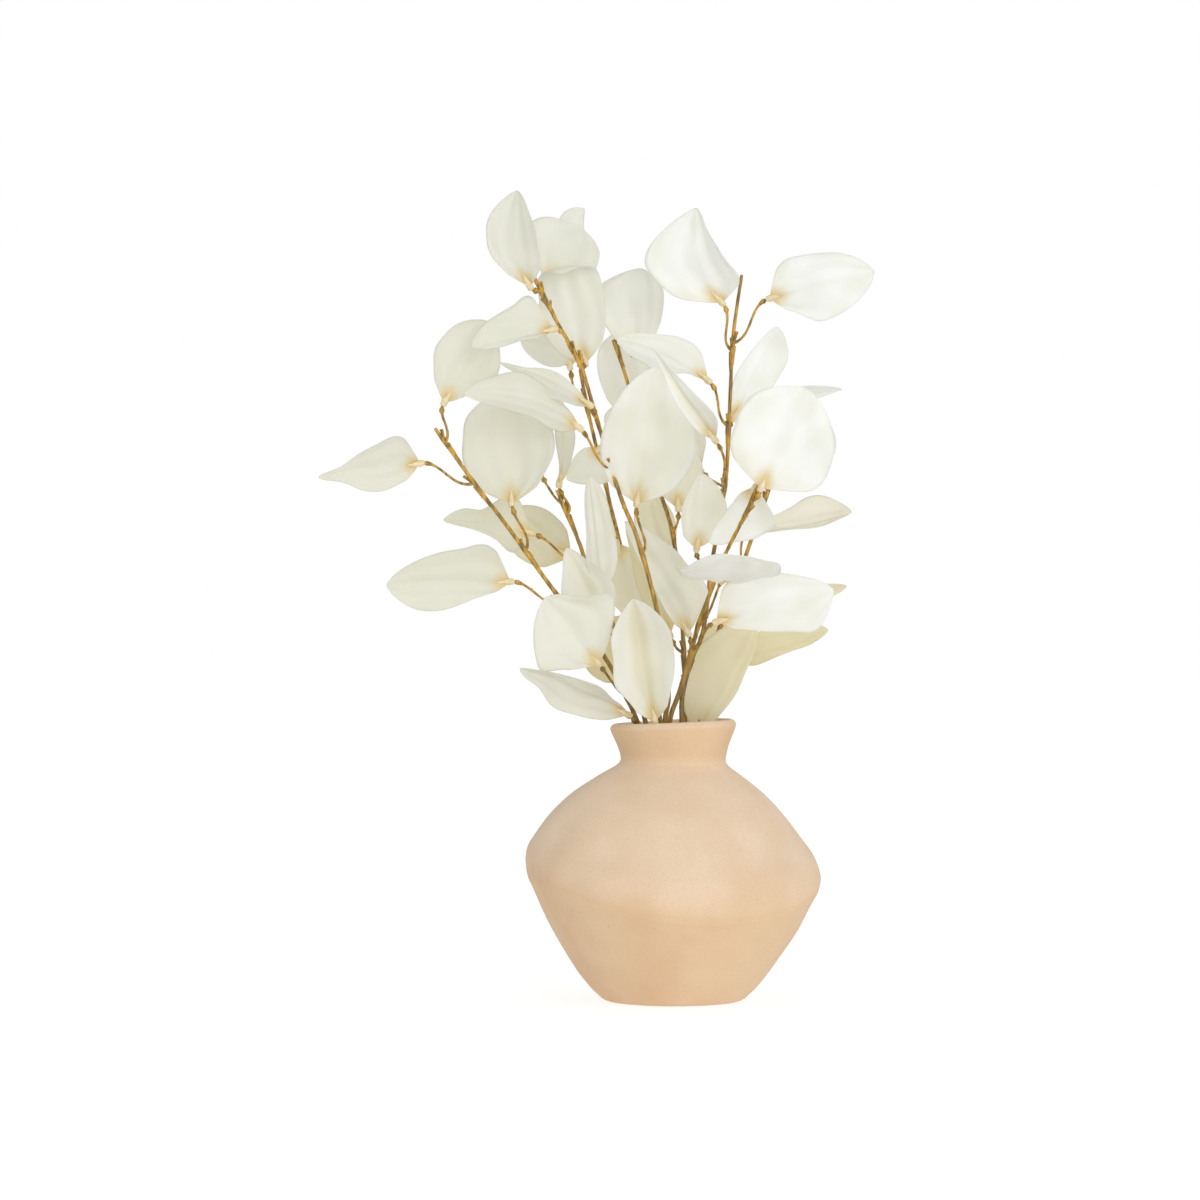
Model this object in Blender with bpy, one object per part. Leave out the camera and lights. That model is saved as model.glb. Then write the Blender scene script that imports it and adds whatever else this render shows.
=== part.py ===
"""Vase of bleached eucalyptus: a hand-formed stoneware vase that holds eight leafy stems.

The row frame is +Z up, with the origin at the middle of the vase's foot. The viewer of the
front view stands on the -Y side. Lengths are in millimetres and angles in degrees, and
MM turns a length into metres where a mesh is made.
"""

import math
from collections import namedtuple

import bmesh
import bpy
from mathutils import Quaternion, Vector

MM = 0.001

# The vase, turned about Z
VASE_FOOT_RADIUS = 38.0
VASE_FOOT_ROUND = 9.0
VASE_RIDGE_RADIUS = 88.7
VASE_RIDGE_HEIGHT = 79.0
VASE_RIDGE_ROUND = 26.0
VASE_RIDGE_ARC = (-32.0, 38.0)
VASE_NECK_RADIUS = 31.5
VASE_NECK_HEIGHT = 145.0
VASE_RIM_RADIUS = 37.6
VASE_HEIGHT = 167.0
VASE_WALL = 5.0
VASE_FLOOR = 8.0
VASE_TURNS = 40
# How far the hand-formed ridge lies below its height at the front and the back, where round
# the vase its front dip is, and how it leans from the left down to the right
RIDGE_DIP_FRONT = 20.0
RIDGE_DIP_BACK = 8.0
RIDGE_DIP_ANGLE = 12.0
RIDGE_LEAN = 3.0
# How far the shoulder swells on the left, how far the whole pot is out of round and in which
# direction, and how the rim leans up to the right
SHOULDER_SWELL = 2.6
OUT_OF_ROUND = 1.0
OUT_OF_ROUND_ANGLE = -26.0
RIM_LEAN = 1.5

# The stems, moulded round a wire, and what grows from them
STEM_RADIUS = (2.1, 1.1)
STEM_FOOT_RISE = 22.0
STEM_SAMPLES = 2
PETIOLE_RADIUS = 0.85
PETIOLE_SPREAD = 70.0
PETIOLE_PULL = 0.42
PETIOLE_SAMPLES = 3
SLEEVE_RADIUS = 1.5
SLEEVE_END_RADIUS = 0.7
SLEEVE_LENGTH = 9.0
STUB_RADIUS = 1.0
STUB_LENGTH = 8.0
STUB_SPREAD = 28.0
STUB_TURN = 38.0
# The stems stand this far clear of the vase's floor
SEAT_GAP = 0.45

# The leaves
BLADE_THICKNESS = 0.8
BLADE_ROWS = 6
BLADE_COLUMNS = 4
OUTLINE_BASE = 0.57
OUTLINE_TIP = 0.68
CUP_PULL = 0.35
FOLD_ROUND = 0.08
CURL_START = 0.7
EDGE_WAVE = 0.05
EDGE_WAVES = 1.5
EDGE_WAVE_LAG = 1.6

# Where the front view is seen from: across, height and distance
EYE_ACROSS = -44.0
EYE_HEIGHT = 240.0
EYE_DISTANCE = 2400.0

# How full a blade is on each side, at one, two, three and four fifths of its length
OVAL = (1.0, 1.0, 1.0, 1.0)
POINTED = (1.05, 1.0, 0.85, 0.65)
BLUNT = (0.8, 0.95, 1.1, 1.25)
HEART = (1.3, 1.1, 0.9, 0.75)

Leaf = namedtuple(
    "Leaf", "joint base tip width roll bend cup twist sway curl fold left right",
    defaults=(0, 0, 0, 0, OVAL, OVAL),
)
Stem = namedtuple("Stem", "foot neck route leaves")

# Each stem has its foot and neck points (x, y), then the points that the front view shows.
# A front-view point is (across, up, depth): where it shows on the plane of the vase's axis,
# and how far behind that plane it lies. A leaf has the height of its joint on the stem, its
# base and tip, and its width. Then come the blade's turn about its length, its bow, its cup,
# its twist from base to tip, its bow sideways, how far its tip curls out of its face and how
# steeply its halves fold up from the midrib. Left and right say how full it is on each side,
# for one who looks from its base to its tip.
STEMS = {
    "leafy_stem_left": Stem(
        foot=(-20, -10),
        neck=(-18, -8),
        route=[(-22, 168, -10), (-42, 207, -16), (-72, 246, -24), (-98, 282, -30),
               (-123, 315, -36), (-143, 343, -42)],
        leaves=[
            Leaf(333, (-137.5, 358.5, -42), (-110, 407, -32), 40, 10, 0.04, 0.15,
                 left=(0.95, 1.1, 1.12, 1.2), right=(0.65, 0.95, 1, 0.95)),
            Leaf(309, (-152, 322, -40), (-213, 313.5, -56), 32, -12, 0.05, 0.20, 25,
                 left=(0.75, 0.85, 0.75, 0.4), right=(1.6, 1.15, 0.8, 0.4)),
            Leaf(269, (-97, 298, -26), (-102, 366, -16), 54, 0, -0.06, 0.10, fold=0.10,
                 left=(1.02, 1.05, 1.05, 1.2), right=(0.9, 1.05, 1.12, 1.2)),
            Leaf(239, (-98, 251, -32), (-172, 248.5, -48), 37, -8, 0.05, 0.15, 10,
                 left=(0.45, 0.67, 0.9, 1.1), right=(1.65, 1.25, 1.15, 1.1)),
            Leaf(183, (-45, 202, -38), (-77, 241.5, -54), 55, 0, 0.05, 0.14,
                 left=(0.8, 1.1, 1.02, 0.95), right=(0.77, 1.05, 1.25, 0.87)),
            Leaf(159, (-27, 171, -17), (-92, 198.5, -40), 42, -50, -0.04, 0.40,
                 left=(0.8, 0.8, 0.9, 0.6), right=(0.8, 1.1, 0.9, 0.8)),
        ],
    ),
    "leafy_stem_inner_left": Stem(
        foot=(-22, 8),
        neck=(-16, 5),
        route=[(-17, 168, 5), (-33, 218, 6), (-48, 249, 8), (-56, 273, 8), (-64, 292, 8),
               (-70, 306, 8)],
        leaves=[
            Leaf(292, (-68.5, 309.5, 8), (-71, 364, 2), 34, 72, 0.04, 0.20),
            Leaf(260, (-85, 280, 0), (-138, 288, -8), 32, 25, 0.06, 0.15,
                 left=(1.35, 0.65, 0.45, 0.4), right=(1.55, 1.1, 0.55, 0.7)),
            Leaf(254, (-62, 266, 18), (-101, 292, 34), 36, -10, 0.05, 0.15),
            Leaf(236, (-42, 246, -10), (-50, 314, -14), 34, 54, 0.04, 0.15, 15, -0.05),
            Leaf(218, (-42, 225, -14), (-64, 271, -26), 36, 10, 0.04, 0.15, fold=0.15,
                 left=(1, 1.1, 0.94, 0.72), right=(0.9, 0.9, 0.8, 0.6)),
            Leaf(298, (-80, 316, 24), (-101, 350, 56), 40, 0, 0.05, 0.20, left=HEART),
        ],
    ),
    "leafy_stem_tall": Stem(
        foot=(-8, -16),
        neck=(-6, -13),
        route=[(-5, 168, -12), (-3, 186, -12), (-9, 230, -12), (-21, 275, -12),
               (-32, 303, -12), (-44, 342, -14), (-56, 381, -16), (-71, 409, -18),
               (-84, 435, -20)],
        leaves=[
            Leaf(424, (-86, 428, -24), (-94.5, 485.5, -30), 33, -15, 0.04, 0.20, 0, -0.10,
                 left=(0.75, 0.95, 1.05, 1.2), right=(1, 1, 1.05, 0.95)),
            Leaf(422, (-76, 430, 2), (-55, 463, 20), 46, 0, 0.10, 0.15,
                 left=(0.9, 1.2, 1.3, 1.3), right=(0.8, 0.95, 0.95, 1.05)),
            Leaf(414, (-70, 430, 12), (-53.5, 475, 32), 30, 20, 0.05, 0.15,
                 left=(1, 1, 1.1, 1.25), right=(1, 1, 0.7, 0.2)),
            Leaf(379, (-53, 382, -9), (-70, 452, -9), 46, 0, -0.06, 0.12, curl=150,
                 left=(0.9, 0.95, 0.85, 1), right=(0.85, 0.9, 1, 1.2)),
            Leaf(387, (-71.5, 402.5, -28), (-121, 391.5, -52), 36, 8, 0.04, 0.10,
                 left=(0.05, 0.05, 0.2, 0.3), right=(1.55, 1.1, 0.95, 0.95)),
            Leaf(381, (-56, 388, 0), (-91.5, 398, 16), 26, -15, 0.05, 0.20),
            Leaf(318, (-56, 343, -26), (-125.5, 364, -60), 27, 0, 0.06, 0, 0, 0.10, fold=-0.6,
                 left=(0.95, 0.7, 0.75, 0.75), right=(0.6, 0.85, 1.1, 1)),
            Leaf(348, (-50, 357, -20), (-104, 382, -30), 34, 48, 0.05, 0.20,
                 left=(1, 1, 1, 0.8), right=(0.5, 0.5, 0.4, 0.1)),
            Leaf(268, (-22, 298, -6), (-9, 380, -14), 56, 5, 0.05, 0.08, fold=0.12,
                 left=(1.03, 1.03, 1, 1), right=(1.05, 1.07, 1.03, 1)),
        ],
    ),
    "leafy_stem_middle": Stem(
        foot=(8, 20),
        neck=(6, 15),
        route=[(7, 168, 14), (6, 216, 20), (1, 271, 24), (-4, 293, 26), (-17, 330, 28),
               (-27, 369, 30), (-36, 396, 32)],
        leaves=[
            Leaf(394, (-22, 388, 34), (-20, 439, 16), 44, 5, -0.10, 0.20,
                 left=(0.9, 1.1, 1.4, 1.75), right=(0.65, 0.7, 0.78, 0.94)),
            Leaf(281, (3, 295, 16), (-3, 342, 26), 36, 20, 0.05, 0.20),
            Leaf(208, (-2, 219, 17), (-28.5, 285, 22), 32, 0, 0.03, 0.10,
                 left=(0.5, 0.5, 0.45, 0.3), right=(0.73, 0.5, 0.4, 0.3)),
            Leaf(350, (-30, 350, 42), (-26, 404, 48), 38, 0, 0.05, 0.20, left=BLUNT),
        ],
    ),
    "leafy_stem_right": Stem(
        foot=(8, -2),
        neck=(6, 0),
        route=[(5, 169, 1), (6, 186, 3), (12, 207, 5), (18, 222, 7), (24, 267, 11),
               (29, 297, 13), (32, 318, 15), (34, 360, 18), (36, 399, 20), (41, 435, 22)],
        leaves=[
            Leaf(391, (29, 418.5, 16), (13, 475, 4), 48, -12, 0.05, 0.25, 0, -0.14,
                 left=(1.1, 1.15, 1.4, 1.55), right=(1.15, 0.9, 0.75, 0.6)),
            Leaf(395, (58, 421, 14), (120.5, 437, 0), 43, 5, 0.04, 0.12,
                 left=(1.15, 1, 0.95, 1), right=(0.7, 1, 1, 1)),
            Leaf(345, (21, 371.5, 12), (-34, 396, 6), 34, 38, 0.06, 0.20, 0, 0.04,
                 left=(0.4, 1, 1.3, 1.3), right=(1.05, 0.9, 0.8, 0.75)),
            Leaf(306, (25, 336, -22), (-12.5, 391, -38), 34, -20, 0.03, 0.05, fold=0.35,
                 left=(0.4, 0.35, 0.3, 0.2), right=(0.75, 0.5, 0.35, 0.2)),
            Leaf(341, (36, 349, 30), (63, 404, 38), 28, 20, 0.05, 0.15,
                 left=(1, 1, 0.85, 0.75), right=(0.5, 0.9, 1.05, 1.3)),
            Leaf(308, (16, 318, 24), (-12, 346, 52), 40, 0, 0.05, 0.20, left=POINTED),
            Leaf(258, (14, 271, 2), (17, 316, -8), 34, 30, 0.05, 0.25),
            Leaf(202, (9, 220, -3), (-29, 287, 10), 38, -10, 0.03, 0.12,
                 left=(0.3, 0.2, 0.15, 0.2), right=(1.6, 1.2, 1.1, 0.94)),
        ],
    ),
    "leafy_stem_front": Stem(
        foot=(2, -26),
        neck=(-3, -20),
        route=[(-2, 168, -21), (4, 186, -23), (12, 214, -27), (16, 228, -29),
               (24, 249, -33), (31, 267, -37), (43, 291, -43), (50, 307, -47)],
        leaves=[
            Leaf(299, (52.5, 307, -48), (80, 367, -42), 62, 0, 0.03, 0.08,
                 left=(1.06, 0.98, 1.05, 1.15), right=(1.2, 1.07, 1.02, 1)),
            Leaf(290, (49.5, 308, -32), (22, 274, -28), 46, 0, -0.05, 0.10,
                 left=(1.28, 1, 0.85, 0.64), right=(0.2, 0.17, 0.18, 0.22)),
            Leaf(225, (29, 251, -44), (38, 266, -104), 64, 25, 0.06, -0.12),
            Leaf(211, (26, 227, -40), (96, 246, -58), 46, 5, 0.04, 0.10,
                 left=(1.2, 1.03, 0.92, 0.8), right=(0.45, 0.6, 0.82, 1.25)),
            Leaf(156, (-11, 167, -27), (-24, 240.5, -50), 42, 10, -0.06, 0.10, fold=0.5,
                 left=(0.8, 1.08, 1, 1.18), right=(0.65, 0.8, 0.92, 1.04)),
        ],
    ),
    "leafy_stem_back_right": Stem(
        foot=(22, 10),
        neck=(15, 9),
        route=[(15, 168, 12), (24, 211, 28), (38, 251, 44), (52, 291, 56), (66, 331, 66),
               (74, 358, 72)],
        leaves=[
            Leaf(150, (14, 160, 9), (50, 228, 20), 44, 0, 0, 0,
                 left=(1, 1.15, 1.15, 1.1), right=(0.4, 0.45, 0.42, 0.5)),
            Leaf(190, (34, 206, 27), (93, 222, 20), 30, -10, 0.04, 0.10,
                 left=(0.6, 0.7, 0.8, 0.8), right=(0.8, 0.6, 0.5, 0.6)),
            Leaf(258, (48, 282, 38), (107, 293, 36), 30, -55, -0.02, 0.20,
                 left=(0.8, 1.05, 1.35, 1.6), right=(0.6, 0.65, 0.8, 1)),
            Leaf(218, (56, 236, 24), (104, 248, 22), 36, 40, 0.05, 0.20,
                 left=(1, 1, 0.9, 0.7), right=(1, 0.9, 0.5, 0.25)),
            Leaf(336, (52, 360, 54), (101, 367, 44), 28, 50, 0.05, 0.20,
                 left=(1, 1, 1, 0.8), right=(1, 0.7, 0.35, 0.2)),
            Leaf(348, (73, 364, 76), (79, 314, 92), 44, 0, 0.05, 0.20, left=BLUNT),
            Leaf(300, (58, 310, 78), (66, 334, 112), 40, 0, 0.05, 0.20, right=HEART),
            Leaf(186, (28, 196, 38), (36, 228, 74), 40, 0, 0.05, 0.20, left=POINTED),
        ],
    ),
    "leafy_stem_back_left": Stem(
        foot=(-8, 24),
        neck=(-8, 18),
        route=[(-8, 168, 18), (-16, 211, 34), (-28, 258, 52), (-40, 306, 68),
               (-50, 348, 82), (-56, 378, 92)],
        leaves=[
            Leaf(326, (-44, 331, 56), (-64, 312, 40), 30, 0, 0.05, 0.15,
                 left=(1.2, 1.3, 1.2, 1.1), right=(0.5, 0.5, 0.5, 0.5)),
            Leaf(366, (-62, 380, 96), (-70, 428, 92), 42, 0, 0.05, 0.20, right=BLUNT),
            Leaf(246, (-34, 274, 38), (-22, 228, 34), 30, 0, 0.06, 0.20),
            Leaf(316, (-32, 328, 86), (-6, 362, 106), 42, 0, 0.05, 0.20, left=HEART),
            Leaf(244, (-6, 266, 50), (-16, 304, 60), 27, 0, 0.05, 0.20),
            Leaf(180, (-22, 192, 44), (-48, 224, 70), 42, 0, 0.05, 0.20, right=BLUNT),
        ],
    ),
}

LEAF_COLOUR = (0.78, 0.77, 0.68, 1)
LEAF_ROUGHNESS = 0.75
STONEWARE_COLOUR = (0.71, 0.50, 0.32, 1)
STONEWARE_ROUGHNESS = 0.9
SMOOTH_BELOW = 45.0


def clear_scene():
    for obj in list(bpy.data.objects):
        bpy.data.objects.remove(obj)


def make_material(name, colour, roughness):
    material = bpy.data.materials.new(name)
    material.use_nodes = True
    shader = material.node_tree.nodes["Principled BSDF"]
    shader.inputs["Base Color"].default_value = colour
    shader.inputs["Roughness"].default_value = roughness
    shader.inputs["Metallic"].default_value = 0.0
    return material


def add_object(name, mesh, material=None):
    obj = bpy.data.objects.new(name, mesh)
    bpy.context.scene.collection.objects.link(obj)
    if material:
        mesh.materials.append(material)
    return obj


# The vase

def arc(centre, radius, start, end, steps):
    """Points of an arc in the profile's plane, as (radius, height), from start to end degrees."""
    angles = [math.radians(start + (end - start) * i / steps) for i in range(steps + 1)]
    return [(centre[0] + radius * math.cos(a), centre[1] + radius * math.sin(a)) for a in angles]


def outer_profile():
    """The outside of the vase from the foot's edge to the top of the lip."""
    foot = arc((VASE_FOOT_RADIUS, VASE_FOOT_ROUND), VASE_FOOT_ROUND, -90, -40, 2)
    belly = [(50.4, 8.6), (60.2, 21), (75.2, 45)]
    ridge_centre = (VASE_RIDGE_RADIUS - VASE_RIDGE_ROUND, VASE_RIDGE_HEIGHT)
    ridge = arc(ridge_centre, VASE_RIDGE_ROUND, *VASE_RIDGE_ARC, 4)
    shoulder = [(72, 110), (60, 122.5), (45, 133.6), (35.5, 139.6)]
    neck = [(VASE_NECK_RADIUS + 0.6, 142.4), (VASE_NECK_RADIUS, VASE_NECK_HEIGHT), (33, 151.5)]
    lip = [
        (VASE_RIM_RADIUS, VASE_HEIGHT - 4),
        (VASE_RIM_RADIUS - 0.5, VASE_HEIGHT - 1.2),
        (VASE_RIM_RADIUS - 2.2, VASE_HEIGHT),
    ]
    return foot + belly + ridge + shoulder + neck + lip


def inner_profile():
    """The inside of the vase from the lip down to the floor, a wall's thickness in."""
    lip = [(VASE_RIM_RADIUS - 4, VASE_HEIGHT - 1.2)]
    neck = [(33.5 - VASE_WALL, 152), (VASE_NECK_RADIUS - VASE_WALL, VASE_NECK_HEIGHT - 1)]
    shoulder = [(40, 131), (56, 118.5), (67, 107)]
    belly = [(VASE_RIDGE_RADIUS - VASE_WALL - 1, VASE_RIDGE_HEIGHT), (70.5, 48), (56, 24)]
    return lip + neck + shoulder + belly + [(VASE_FOOT_RADIUS - 2, VASE_FLOOR)]


def ridge_shift(angle):
    """How far the ridge stands off its nominal height, at an angle about Z from the front."""
    front = max(0.0, math.cos(angle - math.radians(RIDGE_DIP_ANGLE))) ** 1.6
    back = max(0.0, -math.cos(angle)) ** 2
    return -RIDGE_DIP_FRONT * front - RIDGE_DIP_BACK * back - RIDGE_LEAN * math.sin(angle)


def hand_formed(point):
    """Moves a point of the turned vase to where the potter's hands left it. The foot stays flat."""
    angle = math.atan2(point.x, -point.y)
    height = point.z / MM
    radius = math.hypot(point.x, point.y) / MM
    above = height > VASE_RIDGE_HEIGHT
    if above:
        share = max(0.0, (VASE_NECK_HEIGHT - height) / (VASE_NECK_HEIGHT - VASE_RIDGE_HEIGHT))
    else:
        share = max(0.0, (height - VASE_FLOOR) / (VASE_RIDGE_HEIGHT - VASE_FLOOR))
    oval = OUT_OF_ROUND * math.cos(2 * (angle - math.radians(OUT_OF_ROUND_ANGLE)))
    left = -SHOULDER_SWELL * math.sin(angle) if above else 0.0
    swell = 4 * share * (1 - share) * (oval + left)
    grown = 1 + (swell / radius if radius > 1 else 0)
    rim = max(0.0, (height - VASE_NECK_HEIGHT) / (VASE_HEIGHT - VASE_NECK_HEIGHT))
    lift = ridge_shift(angle) * share + RIM_LEAN * rim * math.sin(angle)
    return Vector((point.x * grown, point.y * grown, point.z + lift * MM))


def make_vase(material):
    profile = [(0, 0)] + outer_profile() + inner_profile() + [(0, VASE_FLOOR)]
    shape = bmesh.new()
    points = [shape.verts.new((r * MM, 0, z * MM)) for r, z in profile]
    edges = [shape.edges.new(pair) for pair in zip(points, points[1:])]
    bmesh.ops.spin(
        shape, geom=points + edges, cent=(0, 0, 0), axis=(0, 0, 1), angle=math.tau,
        steps=VASE_TURNS, use_merge=False,
    )
    bmesh.ops.remove_doubles(shape, verts=shape.verts, dist=0.01 * MM)
    for vertex in shape.verts:
        vertex.co = hand_formed(vertex.co)
    bmesh.ops.recalc_face_normals(shape, faces=shape.faces)
    mesh = bpy.data.meshes.new("vase")
    shape.to_mesh(mesh)
    shape.free()
    mesh.shade_smooth()
    mesh.set_sharp_from_angle(angle=math.radians(SMOOTH_BELOW))
    return add_object("vase", mesh, material)


# Routes and tubes

def from_front_view(point):
    """The place of a front-view point (across, up, depth), as a vector in millimetres."""
    across, up, depth = point
    spread = 1 + depth / EYE_DISTANCE
    return Vector((
        EYE_ACROSS + (across - EYE_ACROSS) * spread,
        depth,
        EYE_HEIGHT + (up - EYE_HEIGHT) * spread,
    ))


def catmull_rom(a, b, c, d, t):
    """The value at t from b to c on a smooth curve that also passes a and d."""
    return 0.5 * (
        2 * b + (c - a) * t + (2 * a - 5 * b + 4 * c - d) * t ** 2
        + (3 * b - a - 3 * c + d) * t ** 3
    )


def smooth_route(points, samples):
    """A smooth curve through the points, with that many samples to each stretch."""
    ends = [points[0] * 2 - points[1], *points, points[-1] * 2 - points[-2]]
    route = [points[0]]
    for stretch in zip(ends, ends[1:], ends[2:], ends[3:]):
        route += [catmull_rom(*stretch, i / samples) for i in range(1, samples + 1)]
    return route


def stem_route(stem, samples=STEM_SAMPLES):
    """The stem's centreline from its foot, on the vase's floor, to its tip."""
    foot = Vector((*stem.foot, VASE_FLOOR + SEAT_GAP))
    lower = [foot, foot + Vector((0, 0, STEM_FOOT_RISE)), Vector((*stem.neck, VASE_NECK_HEIGHT))]
    return smooth_route(lower + [from_front_view(p) for p in stem.route], samples)


def on_stem(route, height):
    """The point of the stem's route at a height, and the direction the stem has there."""
    for low, high in zip(route, route[1:]):
        if low.z <= height <= high.z:
            share = (height - low.z) / (high.z - low.z)
            return low.lerp(high, share), (high - low).normalized()
    return route[-1], (route[-1] - route[-2]).normalized()


def make_tube(name, points, radii, resolution):
    """A round bar along the points: a curve with a bevel and filled caps, turned into a mesh."""
    curve = bpy.data.curves.new(name, "CURVE")
    curve.dimensions = "3D"
    curve.bevel_depth = MM
    curve.bevel_resolution = resolution
    curve.use_fill_caps = True
    line = curve.splines.new("POLY")
    line.points.add(len(points) - 1)
    for place, point, radius in zip(line.points, points, radii):
        place.co = (*(point * MM), 1)
        place.radius = radius
    guide = bpy.data.objects.new(name, curve)
    bpy.context.scene.collection.objects.link(guide)
    graph = bpy.context.evaluated_depsgraph_get()
    mesh = bpy.data.meshes.new_from_object(guide.evaluated_get(graph))
    bpy.data.objects.remove(guide)
    shape = bmesh.new()
    shape.from_mesh(mesh)
    bmesh.ops.remove_doubles(shape, verts=shape.verts, dist=0.001 * MM)
    bmesh.ops.recalc_face_normals(shape, faces=shape.faces)
    shape.to_mesh(mesh)
    shape.free()
    return mesh


# Leaves

def leaf_frame(leaf):
    """The leaf's base, its chord, and the directions along, across and out of its face."""
    base = from_front_view(leaf.base)
    chord = from_front_view(leaf.tip) - base
    along = chord.normalized()
    viewer = Vector((0, -1, 0))
    facing = (viewer - along * viewer.dot(along)).normalized()
    facing.rotate(Quaternion(along, math.radians(leaf.roll)))
    return base, chord.length, along, along.cross(facing), facing


def fullness(shares, t):
    """How full the blade is at t, when shares says it at one to four fifths of the length."""
    stations = [shares[0]] * 2 + list(shares) + [shares[-1]] * 2
    fifth = min(4, int(t * 5))
    return catmull_rom(*stations[fifth:fifth + 4], t * 5 - fifth)


def half_width(leaf, t, u):
    """Half the blade's width at t from base to tip, on its left where u is below 0."""
    widest = OUTLINE_BASE / (OUTLINE_BASE + OUTLINE_TIP)
    most = widest ** OUTLINE_BASE * (1 - widest) ** OUTLINE_TIP
    oval = t ** OUTLINE_BASE * (1 - t) ** OUTLINE_TIP / most
    left = fullness(leaf.left, t)
    right = fullness(leaf.right, t)
    return leaf.width / 2 * oval * (left + (right - left) * (1 + u) / 2)


def midrib(leaf, frame, t):
    """The midrib's point at t from base to tip, and the direction out of the face there."""
    base, length, along, across, facing = frame
    late = max(0.0, t - CURL_START)
    turn = math.radians(leaf.curl) * late / (1 - CURL_START)
    ahead = late * math.sin(turn) / turn if turn else late
    out = late * (1 - math.cos(turn)) / turn if turn else 0.0
    straight = along * (min(t, CURL_START) + ahead) + facing * out
    bowed = (facing * leaf.bend + across * leaf.sway) * (4 * t * (1 - t))
    return base + (straight + bowed) * length, facing * math.cos(turn) - along * math.sin(turn)


def blade_point(leaf, number, frame, t, u):
    """The middle of the blade at t from base to tip, and u from -1 at one edge to 1 at the other."""
    _, _, along, across, _ = frame
    half = half_width(leaf, t, u)
    middle, out = midrib(leaf, frame, t)
    turn = Quaternion(along, math.radians(leaf.twist) * (t - 0.5))
    side = across.copy()
    side.rotate(turn)
    out.rotate(turn)
    wave = EDGE_WAVE * math.sin(math.tau * EDGE_WAVES * t + number + EDGE_WAVE_LAG * u) * u * u
    folded = leaf.fold * (math.hypot(u, FOLD_ROUND) - FOLD_ROUND)
    rise = (leaf.cup * u * u + folded + wave) * half
    reach = u * half * (1 - CUP_PULL * abs(leaf.cup) * u * u)
    return middle + side * reach + out * rise


def make_blade(leaf, number):
    """A thin closed blade, split into triangles before it gets its thickness, so its faces match."""
    frame = leaf_frame(leaf)
    shape = bmesh.new()
    rows = []
    for i in range(BLADE_ROWS + 1):
        t = (1 - math.cos(math.pi * i / BLADE_ROWS)) / 2
        columns = range(-BLADE_COLUMNS // 2, BLADE_COLUMNS // 2 + 1) if 0 < i < BLADE_ROWS else [0]
        rows.append([
            shape.verts.new(blade_point(leaf, number, frame, t, 2 * j / BLADE_COLUMNS) * MM)
            for j in columns
        ])
    for lower, upper in zip(rows, rows[1:]):
        if len(lower) == 1:
            for pair in zip(upper, upper[1:]):
                shape.faces.new((lower[0], pair[1], pair[0]))
        elif len(upper) == 1:
            for pair in zip(lower, lower[1:]):
                shape.faces.new((pair[0], pair[1], upper[0]))
        else:
            for a, b, c, d in zip(lower, lower[1:], upper[1:], upper):
                shape.faces.new((a, b, c, d))
    bmesh.ops.triangulate(shape, faces=shape.faces)
    bmesh.ops.recalc_face_normals(shape, faces=shape.faces)
    mesh = bpy.data.meshes.new("blade")
    shape.to_mesh(mesh)
    shape.free()
    blade = add_object("blade", mesh)
    thickness = blade.modifiers.new("thickness", "SOLIDIFY")
    thickness.thickness = BLADE_THICKNESS * MM
    thickness.offset = 0
    graph = bpy.context.evaluated_depsgraph_get()
    solid = bpy.data.meshes.new_from_object(blade.evaluated_get(graph))
    bpy.data.objects.remove(blade)
    return solid


def spread_from(direction, outward, degrees):
    """The direction that leaves a stem's direction by that many degrees towards outward."""
    sideways = (outward - direction * outward.dot(direction)).normalized()
    spread = math.radians(degrees)
    return direction * math.cos(spread) + sideways * math.sin(spread)


def petiole_route(leaf, route):
    """From the joint, out from the stem and round to the leaf's base, then into the sleeve."""
    joint, stem_direction = on_stem(route, leaf.joint)
    frame = leaf_frame(leaf)
    base, length = frame[:2]
    pull = (base - joint).length * PETIOLE_PULL
    rib_direction = (blade_point(leaf, 0, frame, 0.02, 0) - base).normalized()
    first = joint + spread_from(stem_direction, base - joint, PETIOLE_SPREAD) * pull
    second = base - rib_direction * pull
    curve = []
    for i in range(PETIOLE_SAMPLES + 1):
        t = i / PETIOLE_SAMPLES
        curve.append(
            joint * (1 - t) ** 3 + first * (3 * t * (1 - t) ** 2)
            + second * (3 * t ** 2 * (1 - t)) + base * t ** 3
        )
    for share in (0.5, 1.0):
        curve.append(blade_point(leaf, 0, frame, share * SLEEVE_LENGTH / length, 0))
    return curve


def make_petiole(leaf, route):
    curve = petiole_route(leaf, route)
    radii = [PETIOLE_RADIUS] * PETIOLE_SAMPLES + [SLEEVE_RADIUS, SLEEVE_RADIUS, SLEEVE_END_RADIUS]
    return make_tube("petiole", curve, radii, resolution=0)


def make_stub(leaf, route, number):
    """The short cut stub that stands in the fork beside a petiole."""
    joint, direction = on_stem(route, leaf.joint)
    outward = petiole_route(leaf, route)[1] - joint
    outward.rotate(Quaternion(direction, math.radians(STUB_TURN if number % 2 else -STUB_TURN)))
    end = joint + spread_from(direction, outward, STUB_SPREAD) * STUB_LENGTH
    return make_tube("stub", [joint, end], [STUB_RADIUS] * 2, resolution=0)


def leafy_stem_pieces(stem):
    """The stem's bar, then its petioles, stubs and blades, as (kind, leaf number, mesh)."""
    route = stem_route(stem)
    thick, thin = STEM_RADIUS
    radii = [thick + (thin - thick) * i / (len(route) - 1) for i in range(len(route))]
    pieces = [("bar", 0, make_tube("bar", route, radii, resolution=1))]
    for number, leaf in enumerate(stem.leaves, 1):
        pieces.append(("petiole", number, make_petiole(leaf, route)))
        pieces.append(("stub", number, make_stub(leaf, route, number)))
        pieces.append(("blade", number, make_blade(leaf, number)))
    return pieces


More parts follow.
